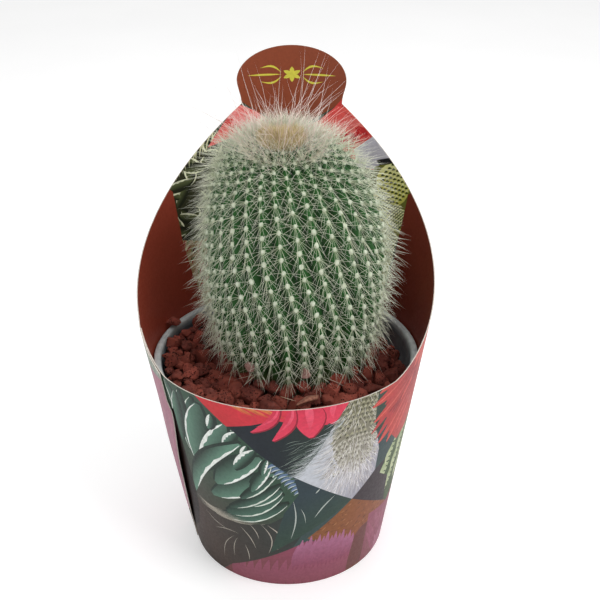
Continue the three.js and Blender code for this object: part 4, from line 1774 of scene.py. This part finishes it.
@dataclass
class CactusStem:
    """The ribbed stem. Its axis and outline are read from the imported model's rings of points."""

    ribs: int = 32
    columns_per_rib: int = 10
    rows: int = 290
    rib_depth: float = 2.5
    bead_height: float = 0.75
    minor_start: float = 84.0
    minor_full: float = 98.0
    spacing_young: float = 2.0
    spacing_full: float = 4.85
    grown_at: float = 42.0
    pad_shift: float = 5.5
    point_radius: float = 0.5
    lean_low: Triple = (0.235, 104.0, 142.0)
    lean_high: Triple = (0.04, 140.0, 165.0)
    bald: float = 6.0
    pad_edge: float = 8.5
    minor_pad_edge: float = 12.5
    dome: float = 26.0
    lowest: float = 86.0
    minor_lowest: float = 93.0
    line: Array = field(init=False)
    arc: Array = field(init=False)

    def __post_init__(self) -> None:
        """Reads radius, height and axis along the stem, from the apex down."""
        points = np.array([v.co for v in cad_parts["cactus_stem"].data.vertices], float) / MM
        rings = []
        for level in np.unique(np.round(points[:, 2], 2))[::-1]:
            ring = points[np.abs(points[:, 2] - level) < 0.02]
            middle = (ring.max(0) + ring.min(0)) / 2
            rings.append((float(np.hypot(*(ring - middle)[:, :2].T).max()), level, middle[0], middle[1]))
        apex = next((r for r in rings if r[0] <= self.point_radius), rings[0])
        body = [r for r in rings if r[0] > self.point_radius]
        knots = np.array([(-body[0][0], *body[0][1:]), (0.0, apex[1], *body[0][2:]), *body])
        self.line = self._curve(knots)
        step = np.hypot(*np.diff(self.line[:, :2], axis=0).T)
        self.arc = np.concatenate([[0], np.cumsum(step)])

    def _curve(self, knots: Array) -> Array:
        """A smooth curve through the knots after the first, evenly spaced.

        Args:
            knots: rows of radius, height and axis; the first only sets the start's slope.

        Returns:
            Rows of the same four numbers.
        """
        knots = np.vstack([knots, 2 * knots[-1] - knots[-2]])
        dense = []
        for i in range(1, len(knots) - 2):
            p0, p1, p2, p3 = knots[i - 1:i + 3]
            t = np.linspace(0, 1, 40, endpoint=False)[:, None]
            dense.append(0.5 * (2 * p1 + (p2 - p0) * t + (2 * p0 - 5 * p1 + 4 * p2 - p3) * t ** 2
                + (3 * p1 - p0 - 3 * p2 + p3) * t ** 3))
        curve = np.vstack([*dense, knots[-2:-1]])
        arc = np.concatenate([[0], np.cumsum(np.hypot(*np.diff(curve[:, :2], axis=0).T))])
        even = np.linspace(0, arc[-1], self.rows)
        return np.column_stack([np.interp(even, arc, curve[:, c]) for c in range(4)])

    def areole_count(self, arc: Array) -> Array:
        """How many areoles one rib has between the apex and a distance along it.

        Args:
            arc: distance from the apex.

        Returns:
            The count, which need not be whole.
        """
        ratio = self.spacing_full / self.spacing_young
        growing = np.minimum(arc, self.grown_at) / self.grown_at
        young = self.grown_at / self.spacing_young * np.log1p(growing * (ratio - 1)) / (ratio - 1)
        return young + np.maximum(0, arc - self.grown_at) / self.spacing_full

    def twist(self, height: Array) -> Array:
        """How far the ribs lean round the axis towards the foot, in radians."""
        low, *low_span = self.lean_low
        high, *high_span = self.lean_high
        return low * (1 - smooth(*low_span, height)) + high * (1 - smooth(*high_span, height))

    def surface(self, arc: Array, turn: Array, shape: bool = True) -> tuple[Array, Array]:
        """Places on the stem.

        Args:
            arc: distance from the apex along the outline.
            turn: direction round the axis, from the front towards +X, in radians.
            shape: whether to add the ribs and the beads that carry the areoles.

        Returns:
            Rows of x, y, z, and how near each is to a rib's crest, from 0 to 1.
        """
        radius, height, x, y = (np.interp(arc, self.arc, self.line[:, c]) for c in range(4))
        across = turn * self.ribs / (2 * np.pi)
        rib = np.round(across)
        off = 2 * np.abs(across - rib)
        minor = (rib.astype(int) % 2) == 1
        grown = smooth(self.minor_start, self.minor_full, height)
        fade = smooth(66, 82, height) * smooth(3, 22, arc)
        depth = self.rib_depth * np.clip(radius / 33, 0.25, 1.1) * fade
        cut = off ** 1.9
        cut = np.where(minor, cut + 0.85 * (1 - grown) * (1 - off ** 1.9), cut)
        count = self.areole_count(arc) + np.where(minor, 0.5, 0.0)
        bead = (0.5 + 0.5 * np.cos(2 * np.pi * count)) ** 1.4 * (1 - off ** 2) ** 2
        bead = bead * np.where(minor, grown, 1.0) * self.bead_height * smooth(6, 30, arc)
        if shape:
            radius = np.maximum(radius - depth * cut + bead * fade, 0)
        angle = turn + self.twist(height)
        place = np.stack([x + radius * np.sin(angle), y - radius * np.cos(angle), height], -1)
        return place, np.clip(1 - off, 0, 1)

    def build(self) -> None:
        """Makes the stem's skin as one closed mesh."""
        count = self.ribs * self.columns_per_rib
        turn = np.linspace(0, 2 * np.pi, count, endpoint=False)
        arc = self.arc[1:]
        grid_arc, grid_turn = np.meshgrid(arc, turn, indexing="ij")
        places, crest = self.surface(grid_arc.ravel(), grid_turn.ravel())
        apex = (self.line[0, 2], self.line[0, 3], self.line[0, 1])
        foot = (self.line[-1, 2], self.line[-1, 3], self.line[-1, 1])
        points = np.vstack([places, [apex, foot]])
        faces = turned_faces(len(arc), count)[:, ::-1]
        piece = mesh_piece("stem_body", points, faces, StemSkin().build())
        point_values(piece, "crest", np.concatenate([crest, [1, 1]]))
        point_values(piece, "age", 1 - smooth(80, 90, points[:, 2]))
        settle(piece, "stem_skin", "cactus_stem")

    def areoles(self) -> Areoles:
        """Every areole, rib by rib, from the crown down to the grit.

        Returns:
            Their places and directions.
        """
        arcs, turns = [], []
        fine = np.linspace(0, self.arc[-1], 4000)
        counts = self.areole_count(fine)
        for rib in range(self.ribs):
            minor = rib % 2 == 1
            shift = 0.5 if minor else 0.0
            for number in range(1, int(counts[-1]) + 1):
                arc = float(np.interp(number - shift, counts, fine))
                height = float(np.interp(arc, self.arc, self.line[:, 1]))
                turn = 2 * np.pi * rib / self.ribs
                clear = math.hypot(arc * math.sin(turn), self.pad_shift - arc * math.cos(turn))
                if arc < self.bald or clear < self.pad_edge:
                    continue
                if minor and (height < self.minor_lowest or (arc < self.dome
                        and clear < self.minor_pad_edge)):
                    continue
                if height < self.lowest:
                    continue
                arcs.append(arc)
                turns.append(turn)
        arc, turn = np.array(arcs), np.array(turns)
        places, _ = self.surface(arc, turn)
        up, _ = self.surface(arc - 0.4, turn, False)
        down, _ = self.surface(arc + 0.4, turn, False)
        left, _ = self.surface(arc, turn - 0.01, False)
        right, _ = self.surface(arc, turn + 0.01, False)
        sideways = unit(right - left)
        normals = unit(np.cross(sideways, up - down))
        return Areoles(places, normals, np.cross(normals, sideways), arc)


# ---------------------------------------------------------------- spines and hairs
def hair_mesh(roots: Array, directions: Array, lengths: Array, radii: Array, sag: Array) -> Arrays:
    """Makes thin tapered three-sided hairs that bend along their length.

    Args:
        roots: where each hair starts.
        directions: unit direction of each at its root.
        lengths: length of each.
        radii: radius of each at its root.
        sag: how far each tip is bent, as a vector.

    Returns:
        Points, triangles and the share of the way along each hair for each point.
    """
    helper = np.where(np.abs(directions[:, 2:3]) < 0.9, [[0.0, 0.0, 1.0]], [[1.0, 0.0, 0.0]])
    first = unit(np.cross(directions, helper))
    second = np.cross(directions, first)
    rings, along = [], []
    for t, width in ((0.0, 1.0), (0.34, 0.86), (0.68, 0.62)):
        middle = roots + directions * (lengths * t)[:, None] + sag * t * t
        for k in range(3):
            turn = 2 * np.pi * k / 3
            rings.append(middle + (first * math.cos(turn) + second * math.sin(turn))
                * (radii * width)[:, None])
            along.append(t)
    rings.append(roots + directions * lengths[:, None] + sag)
    along.append(1.0)
    points = np.stack(rings, 1).reshape(-1, 3)
    pattern = []
    for ring in (0, 3):
        for k in range(3):
            a, b = ring + k, ring + (k + 1) % 3
            pattern += [(a, b, b + 3), (a, b + 3, a + 3)]
    pattern += [(6 + k, 6 + (k + 1) % 3, 9) for k in range(3)]
    pattern.append((0, 2, 1))
    starts = np.arange(len(roots)) * 10
    faces = (np.array(pattern)[None] + starts[:, None, None]).reshape(-1, 3)
    return points, faces, np.tile(along, len(roots))


def hair_piece(name: str, hairs: Arrays, material: Material) -> None:
    """Makes one piece of many hairs and settles it on the root body.

    Args:
        name: the piece's name.
        hairs: what hair_mesh takes.
        material: its finish.
    """
    points, faces, along = hair_mesh(*hairs)
    piece = mesh_piece(name, points, faces, material)
    point_values(piece, "along", along)
    settle(piece, "stem_skin")


@dataclass
class Spines:
    """White radial and central spines, and the felt dot that each areole's spines grow from."""

    seed: int = 5
    radials: int = 11
    centrals: int = 3
    radius: float = 0.074
    radial_rise: Pair = (16.0, 44.0)
    central_rise: Pair = (46.0, 76.0)
    radial_length: Pair = (6.4, 9.8)
    central_length: Pair = (8.5, 12.0)
    dot: float = 1.0
    tufts: int = 14

    def build(self, areoles: Areoles) -> None:
        """Makes the felt dots and the spines, one piece for each quarter of the stem.

        Args:
            areoles: where the spines grow.
        """
        rng = np.random.default_rng(self.seed)
        # Painted light: the greenish root stands for the skin's green light showing through the translucent
        # spines.
        white = HairTone("spine_white", "bccb9f", "fbfaee", "e6e3cd", 0.45).build()
        self._felt(rng, areoles)
        quarter = (np.arctan2(areoles.normals[:, 1], areoles.normals[:, 0]) // (np.pi / 2)).astype(int) % 4
        names = ("spines_back_right", "spines_back_left", "spines_front_left", "spines_front_right")
        for index, name in enumerate(names):
            chosen = np.nonzero(quarter == index)[0]
            hair_piece(name, self._grow(rng, areoles, chosen), white)

    def _grow(self, rng: Rng, areoles: Areoles, chosen: Array) -> Arrays:
        """Root, direction, length, radius and bend of every spine of some areoles.

        Args:
            rng: the source of chance.
            areoles: where spines grow.
            chosen: numbers of the areoles wanted.

        Returns:
            What hair_mesh takes.
        """
        count = self.radials + self.centrals
        owner = np.repeat(chosen, count)
        number = np.tile(np.arange(count), len(chosen))
        total = len(owner)
        normal, upward = areoles.normals[owner], areoles.upward[owner]
        sideways = np.cross(upward, normal)
        young = 1 - smooth(14, 44, areoles.from_apex[owner])
        low = smooth(88, 118, areoles.from_apex[owner])
        central = number >= self.radials
        turn = 2 * np.pi * number / self.radials + rng.uniform(-0.2, 0.2, total)
        turn = np.where(central, np.pi + rng.normal(0, 1.3, total), turn)
        rise = np.where(central, rng.uniform(*self.central_rise, total),
            rng.uniform(*self.radial_rise, total) + 14 * young)
        rise = np.radians(rise)
        flat = upward * np.cos(turn)[:, None] + sideways * np.sin(turn)[:, None]
        direction = flat * np.cos(rise)[:, None] + normal * np.sin(rise)[:, None]
        direction = unit(direction + upward * (0.4 * young - 0.36 - 0.3 * low)[:, None])
        length = np.where(central, rng.uniform(*self.central_length, total),
            rng.uniform(*self.radial_length, total))
        near = 1 - smooth(10, 24, areoles.from_apex[owner])
        length = length * (1 + 0.28 * young - 0.62 * near + 0.05 * low) * (1 - 0.3
            * smooth(0.3, 0.95, np.cos(turn)) * (1 - young))
        bend = rng.normal(0, 0.06, (total, 3)) * length[:,
            None] - upward * ((0.12 - 0.12 * young) * length)[:, None]
        roots = areoles.places[owner] + normal * 0.3 + flat * 0.3
        radii = self.radius * rng.uniform(0.75, 1.25, total) * (1 + 0.3 * low - 0.2 * young)
        kept = rng.random(total) < 0.92 - 0.34 * low - 0.12 * young - 0.25 * (np.cos(turn) > 0.5) * (1
            - young)
        return roots[kept], direction[kept], length[kept], radii[kept], bend[kept]

    def _felt(self, rng: Rng, areoles: Areoles) -> None:
        """A small domed cushion of felt with short wool on every areole.

        Args:
            rng: the source of chance.
            areoles: where the cushions sit.
        """
        ball, faces = unit_sphere(2)
        sideways = np.cross(areoles.upward, areoles.normals)
        size = self.dot * (0.75 + 0.25 * smooth(20, 60, areoles.from_apex)) * rng.uniform(0.9, 1.12,
            len(areoles.places))
        rough = 1 + 0.12 * rng.normal(size=(len(areoles.places), len(ball)))
        shape = ball[None] * rough[:, :, None] * size[:, None, None]
        points = (areoles.places[:, None] + shape[:, :, :1] * sideways[:, None] * 0.85 + shape[:, :, 1:2]
            * areoles.upward[:, None] * 1.05 + shape[:, :, 2:] * areoles.normals[:, None] * 0.6)
        all_faces = (faces[None] + (np.arange(len(points)) * len(ball))[:, None, None]).reshape(-1, 3)
        felt = HairTone("areole_felt", "cfdabd", "f4f7ea", "e6edd8", 0.9).build()
        piece = mesh_piece("areole_felt", points.reshape(-1, 3), all_faces, felt)
        point_values(piece, "along", np.tile(np.clip(ball[:, 2], 0, 1), len(points)))
        settle(piece, "stem_skin")
        owner = np.repeat(np.arange(len(areoles.places)), self.tufts)
        spread = rng.normal(0, 0.55, (len(owner), 3))
        direction = unit(areoles.normals[owner] + spread)
        roots = areoles.places[owner] + direction * 0.3
        lengths = rng.uniform(0.7, 1.3, len(owner))
        radii = np.full(len(owner), 0.05)
        hair_piece("areole_wool", (roots, direction, lengths, radii, np.zeros((len(owner), 3))), felt)


@dataclass
class WoollyCrown:
    """The cream wool pad at the apex and the long soft hairs that stand out of it."""

    seed: int = 11
    pad_reach: float = 9.0
    wool: int = 4200
    fleece: int = 1100
    hairs: int = 170
    wool_length: Pair = (1.8, 3.8)
    fleece_length: Pair = (3.0, 6.5)
    hair_length: Pair = (9.0, 25.0)
    highest: float = 203.0

    def build(self, stem: CactusStem) -> None:
        """Makes the pad, its wool and the long hairs.

        Args:
            stem: the stem that carries it.
        """
        rng = np.random.default_rng(self.seed)
        cream = HairTone("crown_wool", "a38c58", "e6d3a6", "ccb886", 0.9).build()
        pale = HairTone("crown_fleece", "ddd0b0", "fffaf0", "f2e9d8", 0.8).build()
        blush = HairTone("crown_hair", "ead2c2", "fff3ee", "f4ddd4", 0.5).build()
        roots, normals, out = self._places(rng, stem, self.wool, self.pad_reach, 0.6)
        direction = unit(normals + rng.normal(0, 0.3, normals.shape) + [0, 0, 0.3])
        length = rng.uniform(*self.wool_length, len(roots)) * (1.1 - 0.3 * out)
        bend = rng.normal(0, 0.25, normals.shape) * length[:, None]
        hair_piece("crown_wool", (roots, direction, length, np.full(len(roots), 0.09), bend), cream)
        roots, normals, out = self._places(rng, stem, self.fleece, self.pad_reach + 7, 0.35)
        away = unit((roots - roots.mean(0)) * [1, 1, 0])
        direction = unit(normals * 0.8 + away * 0.6 + rng.normal(0, 0.3, normals.shape) + [0, 0, 0.2])
        length = rng.uniform(*self.fleece_length, len(roots))
        bend = (rng.normal(0, 0.2, normals.shape) + away * 0.2) * length[:, None]
        hair_piece("crown_fleece", (roots, direction, length, np.full(len(roots), 0.06), bend), pale)
        roots, normals, out = self._places(rng, stem, self.hairs, self.pad_reach + 8, 0.6)
        flat = roots - roots.mean(0)
        flat[:, 2] = 0
        flat = unit(flat)
        direction = unit(normals * 0.6 + flat * 0.5 + rng.normal(0, 0.5, normals.shape) + [0, 0, 0.7])
        length = rng.uniform(*self.hair_length, len(roots)) * (1.1 - 0.25 * out)
        bend = (rng.normal(0, 0.34, normals.shape) + flat * 0.25) * length[:, None]
        rise = direction[:, 2] * length + bend[:, 2]
        room = np.minimum(1, (self.highest - roots[:, 2]) / np.maximum(rise, 1e-6))
        length, bend = length * room, bend * room[:, None]
        hair_piece("crown_hairs", (roots, direction, length, np.full(len(roots), 0.085), bend), blush)

    def _places(self, rng: Rng, stem: CactusStem, count: int, reach: float, power: float) -> Arrays:
        """Random places near the apex.

        Args:
            rng: the source of the places.
            stem: the stem that they lie on.
            count: how many.
            reach: greatest distance from the apex.
            power: below 1 moves them outwards, above 1 inwards.

        Returns:
            Places, normals and the share of the reach for each.
        """
        share = rng.random(count) ** power
        spin = rng.uniform(0, 2 * np.pi, count)
        across, ahead = share * reach * np.sin(spin), share * reach * np.cos(spin) + stem.pad_shift
        arc = np.maximum(np.hypot(across, ahead), 0.3)
        turn = np.arctan2(across, ahead)
        places, _ = stem.surface(arc, turn, False)
        up, _ = stem.surface(np.maximum(arc - 0.25, 0.02), turn, False)
        down, _ = stem.surface(arc + 0.25, turn, False)
        sideways = np.stack([np.cos(turn), np.sin(turn), np.zeros(count)], -1)
        return places, unit(np.cross(sideways, unit(up - down))), share


# ---------------------------------------------------------------- litter
@dataclass
class Litter:
    """The bark chip, the two dried buds and the fallen spine."""

    seed: int = 31
    chip_half: Triple = (5.6, 1.7, 1.4)
    chip_turn: float = 36.0
    bud_growth: float = 1.05

    def build(self, dressing: LavaDressing) -> None:
        """Makes each bit in its packed place.

        Args:
            dressing: whose lumps shape the dry bits.
        """
        rng = np.random.default_rng(self.seed)
        bark, bud = DRY_BARK.build(), DRIED_BUD.build()
        for node, material in (("bark_chip", bark), ("dried_bud_left", bud), ("dried_bud_right", bud)):
            low, high = packed_box(node)
            points, faces = dressing.lump(rng, 4, 9)
            if node == "bark_chip":
                points = points * self.chip_half
                points[:, :2] = points[:, :2] @ rotation(math.radians(self.chip_turn))
            else:
                points = points * (high - low) / 2 * self.bud_growth
            piece = mesh_piece(node + "_look", points + (low + high) / 2, faces, material)
            settle(piece, "dry_bits", node)
        straw = HairTone("straw", "c9a284", "e8d3bb", "d8b89a", 0.6).build()
        root = np.array([[-2.4, -31.0, 84.6]])
        direction = unit(np.array([[0.75, -0.62, 0.06]]))
        hair_piece("fallen_spine", (root, direction, np.array([7.5]), np.array([0.16]),
            np.array([[0, 0.4, 0.3]])), straw)


# ---------------------------------------------------------------- stage
@dataclass
class Stage:
    """Camera, lights and floor."""

    focal: float = 60.0
    sensor: float = 36.0
    eye: Triple = (0.0, -0.343, 0.292)
    down: float = 0.4909
    sideways: float = 0.017
    roll: float = -0.0114
    ambient: float = 0.62
    reflected: float = 0.3
    floor_lift: float = 0.3
    floor_size: float = 3000.0

    def build(self) -> None:
        """Sets up everything around the object."""
        self._camera()
        self._lights()
        self._floor()
        bpy.context.scene.view_settings.view_transform = "Standard"

    def _camera(self) -> None:
        """A camera a little above the sleeve's rim, looking down on the grit."""
        data = bpy.data.cameras.new("camera")
        data.lens = self.focal
        data.sensor_width = self.sensor
        data.clip_start = 0.01
        camera = bpy.data.objects.new("camera", data)
        forward = Vector((math.sin(self.sideways) * math.cos(self.down),
            math.cos(self.sideways) * math.cos(self.down), -math.sin(self.down)))
        camera.location = self.eye
        turn = forward.to_track_quat("-Z", "Y")
        camera.rotation_euler = turn.to_euler()
        camera.rotation_euler.rotate_axis("Z", self.roll)
        bpy.context.scene.collection.objects.link(camera)
        bpy.context.scene.camera = camera

    def _lights(self) -> None:
        """A bright room with one broad key from the right and a weaker fill from the left."""
        world = bpy.data.worlds.new("room")
        world.use_nodes = True
        tree = world.node_tree
        path = add_node(tree, "LightPath").outputs
        values = {"Value": path["Is Glossy Ray"], "To Min": self.ambient, "To Max": self.reflected}
        glossy = add_node(tree, "MapRange", values).outputs["Result"]
        seen = add_node(tree, "Math", {0: path["Is Camera Ray"], 1: glossy}, "MAXIMUM")
        feed(tree, tree.nodes["Background"], {"Strength": seen.outputs[0], "Color": (1, 1, 1, 1)})
        bpy.context.scene.world = world
        for name, place, size, power in (("key", (0.55, -0.35, 0.75), 0.5, 4.0),
                ("fill", (-0.6, -0.6, 0.5), 0.7, 1.0), ("top", (0.0, 0.2, 0.9), 0.6, 2.0)):
            data = bpy.data.lights.new(name, "AREA")
            data.size = size
            data.energy = power
            lamp = bpy.data.objects.new(name, data)
            lamp.location = place
            lamp.rotation_euler = (Vector((0, 0, 0.1)) - Vector(place)).to_track_quat("-Z", "Y").to_euler()
            bpy.context.scene.collection.objects.link(lamp)

    def _floor(self) -> None:
        """A plain pale floor."""
        size = self.floor_size
        finish = Finish("floor_white", 0.8)
        finish.paint(finish.mottle("f4f4f4", "f0f0f0", 4.0).outputs["Color"])
        path = finish.node("LightPath")
        lift = finish.ramp(path.outputs["Is Camera Ray"], 0, 1, 0, self.floor_lift)
        finish.set({"Emission Color": (1, 1, 1, 1), "Emission Strength": lift})
        corners = np.array([(-size, -size, 0), (size, -size, 0), (size, size, 0), (-size, size, 0)])
        floor = mesh_piece("floor", corners, np.array([(0, 1, 2), (0, 2, 3)]), finish.material)


def main() -> None:
    """Builds every piece in order, then the stage."""
    logging.basicConfig(level=logging.INFO, format="%(message)s")
    CardSleeve().build(PrintDesign())
    NurseryPot().build()
    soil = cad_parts["potting_soil"]
    soil.data.materials.clear()
    soil.data.materials.append(PEAT_SOIL.build())
    dressing = LavaDressing()
    dressing.build()
    stem = CactusStem()
    stem.build()
    Spines().build(stem.areoles())
    WoollyCrown().build(stem)
    Litter().build(dressing)
    Stage().build()


if __name__ == "__main__":
    main()
